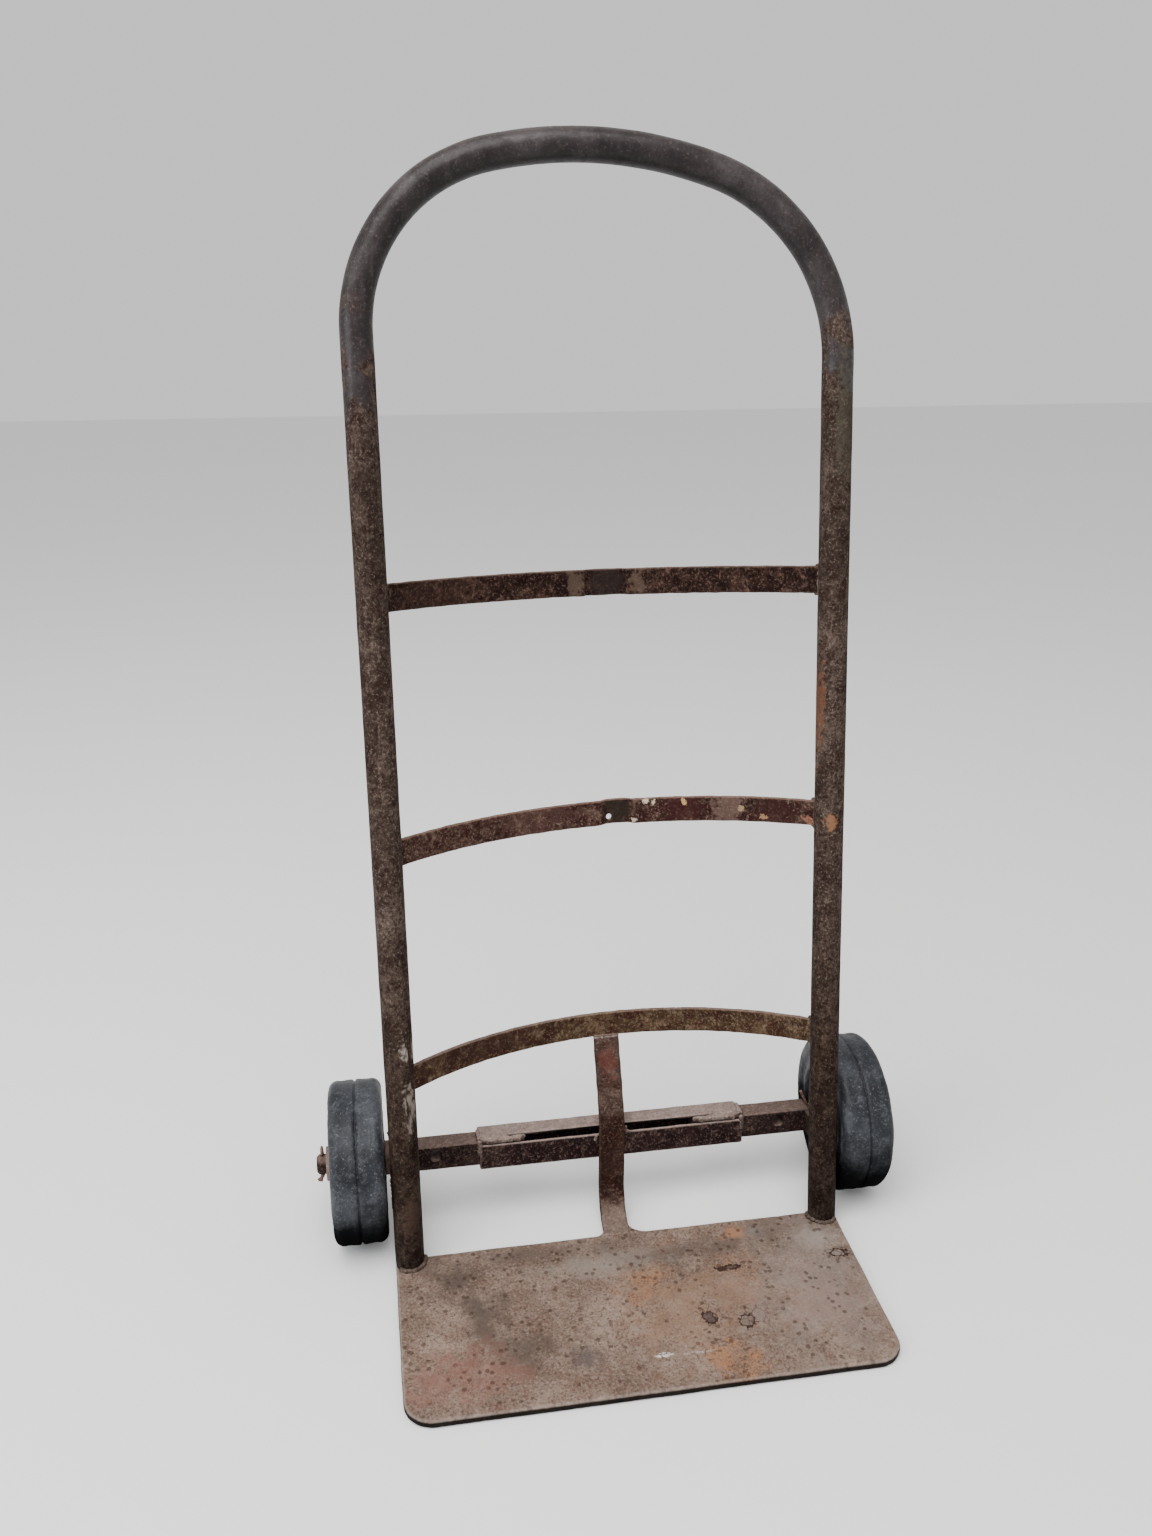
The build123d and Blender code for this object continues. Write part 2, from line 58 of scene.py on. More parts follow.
def setTheView():
    camData = bpy.data.cameras.new("viewCamera")
    camData.sensor_width = 36
    camData.lens = view["lens"]
    cam = bpy.data.objects.new("viewCamera", camData)
    cam.location = Vector(view["place"]) * mm
    cam.rotation_euler = (math.radians(90 - view["pitch"]), math.radians(view["roll"]), math.radians(view["turn"]))
    bpy.context.scene.collection.objects.link(cam)
    bpy.context.scene.camera = cam

    world = bpy.data.worlds.new("studio")
    world.use_nodes = True
    background = world.node_tree.nodes["Background"]
    background.inputs["Color"].default_value = (*view["world"], 1)
    background.inputs["Strength"].default_value = view["worldPower"]
    bpy.context.scene.world = world

    lamps = {
        "bigTop": {"at": (-0.5, -0.9, 2.6), "aim": (0, 0, 0.35), "size": 1.9, "power": 92, "tint": (1.0, 0.99, 0.97)},
        "leftSide": {"at": (-2.2, -0.9, 1.3), "aim": (0, 0, 0.4), "size": 1.4, "power": 36, "tint": (0.93, 0.97, 1.0)},
        "frontFill": {"at": (0.9, -2.6, 1.2), "aim": (0, 0, 0.4), "size": 1.8, "power": 4, "tint": (1.0, 0.98, 0.96)},
    }
    for name, lamp in lamps.items():
        lampData = bpy.data.lights.new(name, "AREA")
        lampData.energy = lamp["power"]
        lampData.size = lamp["size"]
        lampData.color = lamp["tint"]
        lampObject = bpy.data.objects.new(name, lampData)
        lampObject.location = lamp["at"]
        lookAt = Vector(lamp["aim"]) - Vector(lamp["at"])
        lampObject.rotation_euler = lookAt.to_track_quat("-Z", "Y").to_euler()
        bpy.context.scene.collection.objects.link(lampObject)

    bm = bmesh.new()
    bmesh.ops.create_grid(bm, x_segments=1, y_segments=1, size=8)
    floorMesh = bpy.data.meshes.new("floor")
    bm.to_mesh(floorMesh)
    bm.free()
    floor = bpy.data.objects.new("floor", floorMesh)
    bpy.context.scene.collection.objects.link(floor)
    paint = bpy.data.materials.new("paleFloor")
    paint.use_nodes = True
    shader = paint.node_tree.nodes["Principled BSDF"]
    shader.inputs["Base Color"].default_value = (*view["floor"], 1)
    shader.inputs["Roughness"].default_value = 0.9
    floorMesh.materials.append(paint)


setTheView()
print("camera, lights and floor set")


# material building blocks

class Recipe:
    # keeps one material's tree and the few nodes that every finish is mixed from

    def __init__(self, name):
        self.material = bpy.data.materials.new(name)
        self.material.use_nodes = True
        self.tree = self.material.node_tree
        self.shader = self.tree.nodes["Principled BSDF"]
        self.coords = self.tree.nodes.new("ShaderNodeTexCoord").outputs["Object"]

    def plug(self, socket, value):
        if isinstance(value, bpy.types.NodeSocket):
            self.tree.links.new(value, socket)
        elif isinstance(value, (tuple, list)) and len(value) == 3 and socket.type == "RGBA":
            socket.default_value = (*value, 1)
        else:
            socket.default_value = value

    def noise(self, scale, detail=4, rough=0.55, distort=0.0, coords=None, seed=0.0):
        node = self.tree.nodes.new("ShaderNodeTexNoise")
        node.noise_dimensions = "4D"
        self.plug(node.inputs["Vector"], coords or self.coords)
        node.inputs["W"].default_value = seed
        node.inputs["Scale"].default_value = scale
        node.inputs["Detail"].default_value = detail
        node.inputs["Roughness"].default_value = rough
        node.inputs["Distortion"].default_value = distort
        return node.outputs["Fac"]

    def cells(self, scale, feature="F1", coords=None, random=1.0):
        node = self.tree.nodes.new("ShaderNodeTexVoronoi")
        node.feature = feature
        self.plug(node.inputs["Vector"], coords or self.coords)
        node.inputs["Scale"].default_value = scale
        node.inputs["Randomness"].default_value = random
        return node.outputs["Distance"]

    def range(self, value, low, high, toLow=0.0, toHigh=1.0, soft=True):
        node = self.tree.nodes.new("ShaderNodeMapRange")
        node.interpolation_type = "SMOOTHSTEP" if soft else "LINEAR"
        node.clamp = True
        self.plug(node.inputs["Value"], value)
        for socket, amount in (("From Min", low), ("From Max", high), ("To Min", toLow), ("To Max", toHigh)):
            node.inputs[socket].default_value = amount
        return node.outputs["Result"]

    def sum(self, kind, a, b=0.0):
        node = self.tree.nodes.new("ShaderNodeMath")
        node.operation = kind
        self.plug(node.inputs[0], a)
        self.plug(node.inputs[1], b)
        return node.outputs[0]

    def ramp(self, value, stops):
        node = self.tree.nodes.new("ShaderNodeValToRGB")
        band = node.color_ramp
        while len(band.elements) < len(stops):
            band.elements.new(0.5)
        for element, (place, colour) in zip(band.elements, stops):
            element.position = place
            element.color = (*colour, 1)
        self.plug(node.inputs["Fac"], value)
        return node.outputs["Color"]

    def mix(self, amount, a, b, kind="MIX"):
        node = self.tree.nodes.new("ShaderNodeMix")
        node.data_type = "RGBA"
        node.blend_type = kind
        self.plug(node.inputs["Factor"], amount)
        self.plug(node.inputs[6], a)
        self.plug(node.inputs[7], b)
        return node.outputs[2]

    def spot(self, centre, reach, edge=0.35, ragged=0.0, raggedScale=160.0, seed=0.0):
        # 1 inside an ellipsoid about centre (mm), 0 outside, with a ragged rim
        node = self.tree.nodes.new("ShaderNodeMapping")
        self.plug(node.inputs["Vector"], self.coords)
        node.inputs["Scale"].default_value = [1 / (r * mm) for r in reach]
        node.inputs["Location"].default_value = [-c / r for c, r in zip(centre, reach)]
        length = self.tree.nodes.new("ShaderNodeVectorMath")
        length.operation = "LENGTH"
        self.plug(length.inputs[0], node.outputs["Vector"])
        distance = length.outputs["Value"]
        if ragged:
            wobble = self.range(self.noise(raggedScale, 3, seed=seed), 0.25, 0.75, -ragged, ragged, soft=False)
            distance = self.sum("ADD", distance, wobble)
        return self.range(distance, 1 - edge, 1 + edge * 0.5, 1.0, 0.0)

    def band(self, axis, low, high, soft):
        # 1 between two heights (mm) on an axis
        node = self.tree.nodes.new("ShaderNodeSeparateXYZ")
        self.plug(node.inputs[0], self.coords)
        value = node.outputs[axis]
        rise = self.range(value, (low - soft) * mm, (low + soft) * mm)
        fall = self.range(value, (high - soft) * mm, (high + soft) * mm, 1.0, 0.0)
        return self.sum("MULTIPLY", rise, fall)

    def edges(self, low, high):
        node = self.tree.nodes.new("ShaderNodeNewGeometry")
        return self.range(node.outputs["Pointiness"], low, high)

    def upFacing(self, low=0.45, high=0.9):
        node = self.tree.nodes.new("ShaderNodeNewGeometry")
        parts = self.tree.nodes.new("ShaderNodeSeparateXYZ")
        self.plug(parts.inputs[0], node.outputs["Normal"])
        return self.range(parts.outputs[2], low, high)

    def cracks(self, scale, width, distort=0.009, seed=0.0):
        # thin ragged lines between cells
        wobble = self.tree.nodes.new("ShaderNodeTexNoise")
        wobble.noise_dimensions = "4D"
        self.plug(wobble.inputs["Vector"], self.coords)
        wobble.inputs["Scale"].default_value = scale * 2.2
        wobble.inputs["W"].default_value = seed
        wobble.inputs["Detail"].default_value = 4
        shift = self.tree.nodes.new("ShaderNodeVectorMath")
        shift.operation = "MULTIPLY_ADD"
        self.plug(shift.inputs[0], wobble.outputs["Color"])
        shift.inputs[1].default_value = (distort, distort, distort)
        self.plug(shift.inputs[2], self.coords)
        return self.range(self.cells(scale, "DISTANCE_TO_EDGE", coords=shift.outputs["Vector"]), 0.0, width, 1.0, 0.0)

    def shade(self, colour, stops):
        # painted shade: darkens or tints a colour by height; stops are (height mm, tint)
        node = self.tree.nodes.new("ShaderNodeSeparateXYZ")
        self.plug(node.inputs[0], self.coords)
        top = stops[-1][0]
        height = self.range(node.outputs[2], 0.0, top * mm, soft=False)
        tint = self.ramp(height, [(at / top, tone) for at, tone in stops])
        return self.mix(1.0, colour, tint, "MULTIPLY")

    def bump(self, height, strength, distance, below=None):
        node = self.tree.nodes.new("ShaderNodeBump")
        self.plug(node.inputs["Height"], height)
        node.inputs["Strength"].default_value = strength
        node.inputs["Distance"].default_value = distance
        if below:
            self.plug(node.inputs["Normal"], below)
        return node.outputs["Normal"]

    def finish(self, colour, rough, metal, normal, sheen=0.5):
        self.plug(self.shader.inputs["Base Color"], colour)
        self.plug(self.shader.inputs["Roughness"], rough)
        self.plug(self.shader.inputs["Metallic"], metal)
        self.plug(self.shader.inputs["Normal"], normal)
        self.plug(self.shader.inputs["Specular IOR Level"], sheen)
        return self.material


# weathered steel: three broad tones, dark and pale blotches, grit and pits, dust on whatever faces up, and where a look
# asks for it, painted shade (a dark slot strip, darkening by height)
def weatheredSteel(name, look):
    r = Recipe(name)
    seed = look.get("seed", 0.0)
    broad = r.noise(look.get("broadScale", 34), 5, 0.65, 0.4, seed=seed)
    colour = r.ramp(broad, [(0.36, look["dark"]), (0.5, look["middle"]), (0.64, look["light"])])
    blotch = r.noise(look.get("mottleScale", 130), 6, 0.72, 0.6, seed=seed + 3)
    mottle = r.range(blotch, 0.50, 0.58)
    pale = r.range(blotch, 0.38, 0.46, 1.0, 0.0)
    colour = r.mix(r.sum("MULTIPLY", mottle, look.get("mottleAmount", 0.6)), colour, look["mottle"])
    colour = r.mix(r.sum("MULTIPLY", pale, look.get("paleAmount", 0.45)), colour, look.get("pale", look["light"]))
    grit = r.noise(look.get("gritScale", 400), 4, 0.8, seed=seed + 5)
    gritDark = r.range(grit, 0.40, 0.48, 1.0, 0.0)
    gritLight = r.range(grit, 0.54, 0.61)
    colour = r.mix(r.sum("MULTIPLY", gritDark, look.get("gritDark", 0.6)), colour, look["pit"])
    colour = r.mix(r.sum("MULTIPLY", gritLight, look.get("gritLight", 0.4)), colour, look["grit"])
    rims = []
    for spot in look.get("spots", []):
        mask = r.spot(spot["at"], spot["reach"], spot.get("edge", 0.4), spot.get("ragged", 0.5),
                      spot.get("raggedScale", 170), spot.get("seed", seed))
        if "broken" in spot:
            mask = r.sum("MULTIPLY", mask, r.range(grit, *spot["broken"]))
        colour = r.mix(r.sum("MULTIPLY", mask, spot.get("amount", 0.85)), colour, spot["colour"])
        if "rim" in spot:
            inner = r.spot(spot["at"], [reach * spot["rim"] for reach in spot["reach"]], 0.12,
                           spot.get("ragged", 0.5), spot.get("raggedScale", 170), spot.get("seed", seed))
            rims.append(r.sum("SUBTRACT", mask, inner))
            colour = r.mix(r.sum("MAXIMUM", rims[-1], 0.0), colour, look["pit"])
    pitField = r.range(r.cells(look.get("pitScale", 330)), 0.05, 0.42)
    for rim in rims:
        pitField = r.sum("SUBTRACT", pitField, rim)
    if "roundPits" in look:
        holes = r.range(r.cells(look["roundPits"]), 0.20, 0.32, 1.0, 0.0)
        some = r.range(r.noise(look["roundPits"] * 0.3, 3, 0.7, seed=seed + 9), 0.45, 0.53)
        holes = r.sum("MULTIPLY", holes, some)
        colour = r.mix(r.sum("MULTIPLY", holes, look.get("holeDark", 0.65)), colour, look["pit"])
        pitField = r.sum("SUBTRACT", pitField, r.sum("MULTIPLY", holes, 0.9))
    if "wear" in look:
        worn = r.edges(0.515, 0.56)
        colour = r.mix(r.sum("MULTIPLY", worn, look.get("wearAmount", 0.5)), colour, look["wear"])
    if "dust" in look:
        dusty = r.sum("MULTIPLY", r.upFacing(), r.range(blotch, 0.35, 0.60, 1.0, 0.7))
        film = r.mix(r.sum("MULTIPLY", gritDark, 0.45), look["dust"], look["dustPit"])
        film = r.mix(r.sum("MULTIPLY", gritLight, 0.4), film, look["dustGrit"])
        colour = r.mix(r.sum("MULTIPLY", dusty, look.get("dustAmount", 0.9)), colour, film)
    # painted shade: a near-black strip painted where the slot between the two angles lies in shade
    if "paintedSlotShade" in look:
        colour = r.mix(r.spot(look["paintedSlotShade"]["at"], look["paintedSlotShade"]["reach"], 0.12), colour, (0.004, 0.003, 0.003))
    for line in look.get("cracks", []):
        crack = r.sum("MULTIPLY", r.cracks(line["scale"], line["width"], seed=seed + 12),
                      r.spot(line["at"], line["reach"], 0.5, 0.5, 140, seed + 13))
        colour = r.mix(r.sum("MULTIPLY", crack, 0.6), colour, look["pit"])
        pitField = r.sum("SUBTRACT", pitField, crack)
    # painted shade by height, where a look asks for it
    if "shade" in look:
        colour = r.shade(colour, look["shade"])
    rough = r.range(r.noise(look.get("mottleScale", 130), 4, 0.6, seed=seed + 8), 0.3, 0.7,
                    look.get("roughLow", 0.55), look.get("roughHigh", 0.85), soft=False)
    normal = r.bump(broad, 0.35, 1.2 * mm)
    normal = r.bump(blotch, look.get("scabBump", 0.5), 0.8 * mm, normal)
    normal = r.bump(pitField, look.get("pitBump", 0.35), 0.4 * mm, normal)
    normal = r.bump(grit, look.get("gritBump", 0.6), 0.35 * mm, normal)
    return r.finish(colour, rough, look.get("metal", 0.1), normal, look.get("sheen", 0.04))


def grey(value):
    return (value, value, value)


looks = {}
looks["upperBar"] = weatheredSteel("darkBar", {
    "seed": 1.0, "dark": (0.009, 0.004, 0.004), "middle": (0.018, 0.009, 0.007), "light": (0.033, 0.017, 0.013),
    "mottle": (0.007, 0.003, 0.002), "mottleAmount": 0.8, "mottleScale": 110, "pale": (0.084, 0.050, 0.037),
    "paleAmount": 0.55, "pit": (0.006, 0.003, 0.003), "grit": (0.176, 0.112, 0.087), "gritDark": 0.6,
    "gritLight": 0.35, "wear": (0.128, 0.079, 0.062), "wearAmount": 0.35,
    "dust": (0.128, 0.083, 0.067), "dustPit": (0.040, 0.023, 0.019), "dustGrit": (0.240, 0.165, 0.136), "dustAmount": 0.7,
    "spots": [
        {"at": (-150, 150, 612), "reach": (42, 60, 20), "colour": (0.040, 0.022, 0.018), "amount": 0.3, "ragged": 0.8},
        {"at": (-17, 164, 607), "reach": (8, 30, 14), "colour": (0.080, 0.054, 0.040), "amount": 0.6, "ragged": 0.8},
        {"at": (40, 164, 608), "reach": (7, 30, 14), "colour": (0.088, 0.058, 0.044), "amount": 0.6, "ragged": 0.8},
        # painted shade: a dark patch over the joggle's recess
        {"at": (12, 168, 606), "reach": (16, 30, 16), "colour": (0.016, 0.011, 0.010), "amount": 0.75, "edge": 0.2},
    ],
})
looks["middleBar"] = weatheredSteel("mottledBar", {
    "seed": 1.6, "dark": (0.018, 0.008, 0.007), "middle": (0.037, 0.018, 0.014), "light": (0.064, 0.037, 0.028),
    "mottle": (0.021, 0.005, 0.005), "mottleAmount": 0.85, "mottleScale": 92, "pale": (0.110, 0.072, 0.056),
    "paleAmount": 0.6, "pit": (0.009, 0.005, 0.004), "grit": (0.24, 0.17, 0.135), "gritDark": 0.62,
    "gritLight": 0.4, "wear": (0.209, 0.125, 0.094), "wearAmount": 0.3,
    "dust": (0.180, 0.113, 0.088), "dustPit": (0.057, 0.031, 0.024), "dustGrit": (0.323, 0.218, 0.173), "dustAmount": 0.75,
    "spots": [
        {"at": (80, 122, 402), "reach": (20, 30, 20), "colour": (0.030, 0.009, 0.009), "amount": 0.75, "ragged": 0.8},
        {"at": (158, 90, 402), "reach": (22, 40, 20), "colour": (0.026, 0.010, 0.009), "amount": 0.7, "ragged": 0.8},
        {"at": (118, 104, 402), "reach": (14, 40, 20), "colour": (0.130, 0.085, 0.068), "amount": 0.5, "ragged": 0.8},
        {"at": (-62, 120, 394), "reach": (48, 40, 20), "colour": (0.078, 0.042, 0.035), "amount": 0.4, "ragged": 0.9},
        # painted shade: a dark patch over the joggle's recess
        {"at": (18, 130, 394), "reach": (14, 30, 16), "colour": (0.018, 0.013, 0.010), "amount": 0.85, "edge": 0.2},
        {"at": (45, 130, 403), "reach": (2.8, 30, 3.6), "colour": (0.52, 0.44, 0.34), "ragged": 0.9, "raggedScale": 420, "edge": 0.2},
        {"at": (52.5, 128, 402), "reach": (2.0, 30, 2.6), "colour": (0.48, 0.39, 0.29), "ragged": 0.9, "raggedScale": 420, "edge": 0.2},
        {"at": (34.5, 129, 385), "reach": (2.4, 30, 2.0), "colour": (0.42, 0.35, 0.27), "ragged": 0.9, "raggedScale": 420, "edge": 0.2},
        {"at": (80, 122, 403), "reach": (2.1, 30, 4.2), "colour": (0.42, 0.27, 0.12), "ragged": 0.9, "raggedScale": 420, "edge": 0.2},
        {"at": (130, 103, 401), "reach": (2.8, 30, 2.6), "colour": (0.26, 0.18, 0.10), "ragged": 0.9, "raggedScale": 420, "edge": 0.2},
        {"at": (149, 96, 396), "reach": (3.0, 30, 2.0), "colour": (0.26, 0.15, 0.08), "ragged": 0.9, "raggedScale": 420, "edge": 0.2},
        {"at": (190, 60, 396), "reach": (9, 26, 9), "colour": (0.30, 0.13, 0.08), "amount": 0.7, "ragged": 0.9},
    ],
})
looks["lowerBar"] = weatheredSteel("ochreBar", {
    "seed": 2.0, "dark": (0.024, 0.013, 0.008), "middle": (0.053, 0.032, 0.018), "light": (0.090, 0.057, 0.035),
    "mottle": (0.030, 0.008, 0.007), "mottleAmount": 0.8, "mottleScale": 84, "pale": (0.147, 0.102, 0.067),
    "paleAmount": 0.55, "pit": (0.011, 0.007, 0.005), "grit": (0.276, 0.193, 0.138), "gritDark": 0.55,
    "gritLight": 0.35, "wear": (0.184, 0.126, 0.095), "wearAmount": 0.3,
    "dust": (0.175, 0.122, 0.099), "dustPit": (0.055, 0.035, 0.026), "dustGrit": (0.313, 0.235, 0.189), "dustAmount": 0.75,
    "spots": [
        {"at": (-115, 60, 190), "reach": (75, 60, 20), "colour": (0.030, 0.014, 0.012), "amount": 0.6, "ragged": 0.9},
    ],
})
looks["strap"] = weatheredSteel("redBrownStrap", {
    "seed": 3.0, "dark": (0.012, 0.005, 0.004), "middle": (0.024, 0.012, 0.009), "light": (0.043, 0.025, 0.018),
    "mottle": (0.026, 0.007, 0.005), "mottleAmount": 0.6, "mottleScale": 120, "pale": (0.052, 0.032, 0.023),
    "paleAmount": 0.5, "pit": (0.007, 0.004, 0.003), "grit": (0.189, 0.120, 0.094), "gritDark": 0.6,
    "gritLight": 0.35, "wear": (0.098, 0.060, 0.047), "wearAmount": 0.3,
    "dust": (0.178, 0.129, 0.105), "dustPit": (0.070, 0.045, 0.033), "dustGrit": (0.294, 0.222, 0.182),
    "spots": [
        {"at": (2, 80, 150), "reach": (9, 30, 14), "colour": (0.085, 0.018, 0.014), "amount": 0.55, "ragged": 0.9},
        {"at": (-3, 50, 60), "reach": (14, 30, 16), "colour": (0.020, 0.010, 0.009), "amount": 0.5, "ragged": 0.9},
    ],
})
looks["plate"] = weatheredSteel("taupePlate", {
    "seed": 4.0, "broadScale": 15, "dark": (0.111, 0.075, 0.058), "middle": (0.170, 0.118, 0.093),
    "light": (0.230, 0.165, 0.131), "mottle": (0.119, 0.073, 0.052), "mottleAmount": 0.5, "mottleScale": 62,
    "pale": (0.261, 0.192, 0.154), "paleAmount": 0.4, "pit": (0.037, 0.021, 0.016), "grit": (0.460, 0.369, 0.312),
    "gritDark": 0.6, "gritLight": 0.22, "roughLow": 0.6, "roughHigh": 0.9, "metal": 0.1, "roundPits": 122, "holeDark": 0.6,
    "spots": [
        {"at": (-161, -32, 8), "reach": (26, 22, 9), "colour": (0.062, 0.046, 0.038), "amount": 0.75, "edge": 0.9,
         "ragged": 0.8, "raggedScale": 60},
        {"at": (-138, -76, 8), "reach": (22, 32, 9), "colour": (0.062, 0.046, 0.038), "amount": 0.75, "edge": 0.9,
         "ragged": 0.8, "raggedScale": 60},
        {"at": (-109, -124, 8), "reach": (25, 22, 9), "colour": (0.062, 0.046, 0.038), "amount": 0.7, "edge": 0.9,
         "ragged": 0.8, "raggedScale": 60},
        {"at": (-57, -140, 8), "reach": (14, 15, 9), "colour": (0.060, 0.050, 0.050), "amount": 0.7, "edge": 0.9},
        {"at": (14, -62, 8), "reach": (20, 25, 9), "colour": (0.300, 0.140, 0.070), "amount": 0.7, "edge": 1.0,
         "ragged": 1.3, "raggedScale": 60, "broken": (0.38, 0.56)},
        {"at": (46, -92, 8), "reach": (56, 56, 9), "colour": (0.205, 0.120, 0.076), "amount": 0.5, "edge": 1.0,
         "ragged": 1.2, "raggedScale": 50},
        {"at": (92, -62, 8), "reach": (20, 24, 9), "colour": (0.270, 0.140, 0.080), "amount": 0.6, "edge": 1.0,
         "ragged": 1.2, "raggedScale": 60, "broken": (0.36, 0.56)},
        {"at": (67, -161, 8), "reach": (18, 22, 9), "colour": (0.310, 0.140, 0.064), "amount": 0.75, "edge": 1.0,
         "ragged": 1.3, "raggedScale": 70, "broken": (0.38, 0.56)},
        {"at": (110, -12, 8), "reach": (13, 9, 9), "colour": (0.310, 0.130, 0.056), "amount": 0.7, "edge": 0.9,
         "ragged": 1.0, "raggedScale": 90},
        {"at": (130, -14, 8), "reach": (10, 9, 9), "colour": (0.130, 0.122, 0.112), "amount": 0.7, "edge": 0.9},
        {"at": (-164, -146, 8), "reach": (44, 26, 9), "colour": (0.190, 0.088, 0.068), "amount": 0.55, "edge": 1.0,
         "ragged": 1.2, "raggedScale": 60},
        {"at": (150, -110, 8), "reach": (54, 30, 9), "colour": (0.180, 0.092, 0.074), "amount": 0.55, "edge": 1.0,
         "ragged": 1.2, "raggedScale": 60},
        {"at": (60, -30, 8), "reach": (95, 11, 9), "colour": (0.075, 0.054, 0.045), "amount": 0.65, "edge": 1.0,
         "ragged": 0.8, "raggedScale": 60},
        {"at": (-90, -8, 8), "reach": (90, 10, 9), "colour": (0.085, 0.064, 0.054), "amount": 0.6, "edge": 1.0,
         "ragged": 0.8, "raggedScale": 60},
        {"at": (170, -8, 8), "reach": (50, 18, 9), "colour": (0.085, 0.056, 0.046), "amount": 0.6, "edge": 1.0,
         "ragged": 0.8, "raggedScale": 60},
        {"at": (-20, -34, 8), "reach": (60, 14, 9), "colour": (0.260, 0.225, 0.190), "amount": 0.5, "edge": 1.0,
         "ragged": 0.8, "raggedScale": 60},
        {"at": (185, -28, 8), "reach": (26, 14, 9), "colour": (0.300, 0.270, 0.240), "amount": 0.5, "edge": 1.0},
        {"at": (168, -86, 8), "reach": (66, 84, 9), "colour": (0.255, 0.212, 0.186), "amount": 0.4, "edge": 1.0,
         "ragged": 0.8, "raggedScale": 40},
        {"at": (8, -148, 8), "reach": (8, 2.6, 9), "colour": (0.66, 0.62, 0.58), "broken": (0.44, 0.56)},
        {"at": (38, -150, 8), "reach": (12, 1.6, 9), "colour": (0.42, 0.38, 0.35), "broken": (0.48, 0.60)},
        {"at": (57, -112, 8), "reach": (6.5, 9, 9), "colour": (0.070, 0.052, 0.050), "edge": 0.12, "rim": 0.66,
         "ragged": 0.7},
        {"at": (90, -122, 8), "reach": (8.5, 8, 9), "colour": (0.135, 0.100, 0.084), "edge": 0.12, "rim": 0.74,
         "ragged": 0.8, "seed": 41},
        {"at": (92, -56, 8), "reach": (12, 3.4, 9), "colour": (0.060, 0.042, 0.036), "edge": 0.12, "rim": 0.5,
         "ragged": 0.9, "seed": 42},
        {"at": (197, -54, 8), "reach": (9, 5.5, 9), "colour": (0.200, 0.155, 0.135), "edge": 0.12, "rim": 0.66,
         "ragged": 0.8, "seed": 43},
    ],
    "cracks": [
        {"at": (57, -108, 8), "reach": (16, 20, 9), "scale": 90, "width": 0.07},
        {"at": (94, -118, 8), "reach": (18, 18, 9), "scale": 84, "width": 0.07},
        {"at": (92, -54, 8), "reach": (26, 9, 9), "scale": 95, "width": 0.07},
        {"at": (197, -52, 8), "reach": (17, 12, 9), "scale": 95, "width": 0.08},
    ],
    "wear": (0.300, 0.262, 0.236), "wearAmount": 0.4,
    # painted shade: the plate's edge faces and underside, below 7 mm up, are darkened nearly black
    "shade": [(0.0, grey(0.05)), (5.6, grey(0.07)), (7.0, grey(1.0)), (12.0, grey(1.0))],
})
looks["axle"] = weatheredSteel("darkAxle", {
    "seed": 5.0, "dark": (0.008, 0.005, 0.005), "middle": (0.015, 0.008, 0.008), "light": (0.030, 0.018, 0.016),
    "mottle": (0.014, 0.005, 0.005), "mottleAmount": 0.6, "mottleScale": 120, "pale": (0.088, 0.054, 0.045),
    "paleAmount": 0.55, "pit": (0.005, 0.003, 0.003), "grit": (0.234, 0.160, 0.134), "gritDark": 0.55,
    "gritLight": 0.32, "wear": (0.270, 0.202, 0.176), "wearAmount": 0.45,
    "dust": (0.270, 0.200, 0.178), "dustPit": (0.108, 0.071, 0.059), "dustGrit": (0.432, 0.344, 0.311), "dustAmount": 0.95,
    # painted shade: a near-black strip along the front face of the rear angle's top leg, inside the slot
    "paintedSlotShade": {"at": (0, 61.0, 89.2), "reach": (170, 3.4, 4.0)},
})
looks["stub"] = weatheredSteel("brownStub", {
    "seed": 5.5, "dark": (0.008, 0.005, 0.005), "middle": (0.018, 0.011, 0.010), "light": (0.040, 0.025, 0.021),
    "mottle": (0.018, 0.007, 0.007), "mottleAmount": 0.6, "mottleScale": 120, "pale": (0.085, 0.054, 0.044),
    "paleAmount": 0.45, "pit": (0.005, 0.004, 0.004), "grit": (0.20, 0.14, 0.12), "gritDark": 0.55,
    "gritLight": 0.28, "dust": (0.150, 0.104, 0.088), "dustPit": (0.05, 0.032, 0.026),
    "dustGrit": (0.30, 0.235, 0.205), "dustAmount": 0.85,
})
looks["footWeld"] = weatheredSteel("dullFootWeld", {
    "seed": 6.5, "dark": (0.040, 0.028, 0.023), "middle": (0.074, 0.054, 0.045), "light": (0.130, 0.100, 0.086),
    "mottle": (0.055, 0.026, 0.020), "mottleAmount": 0.5, "pit": (0.014, 0.009, 0.007), "grit": (0.32, 0.26, 0.23),
    "gritDark": 0.5, "gritLight": 0.3, "dust": (0.085, 0.062, 0.052), "dustPit": (0.06, 0.042, 0.034),
    "dustGrit": (0.30, 0.25, 0.22), "dustAmount": 0.6,
})
looks["weld"] = weatheredSteel("lumpyWeld", {
    "seed": 6.0, "dark": (0.051, 0.035, 0.029), "middle": (0.096, 0.068, 0.058), "light": (0.168, 0.131, 0.115),
    "mottle": (0.057, 0.028, 0.021), "mottleAmount": 0.5, "pale": (0.204, 0.162, 0.145), "pit": (0.022, 0.014, 0.011),
    "grit": (0.300, 0.249, 0.226), "gritDark": 0.5, "gritLight": 0.45, "wear": (0.252, 0.203, 0.180), "wearAmount": 0.2,
    "dust": (0.235, 0.178, 0.152), "dustPit": (0.13, 0.09, 0.075), "dustGrit": (0.48, 0.41, 0.37), "dustAmount": 0.85,
})
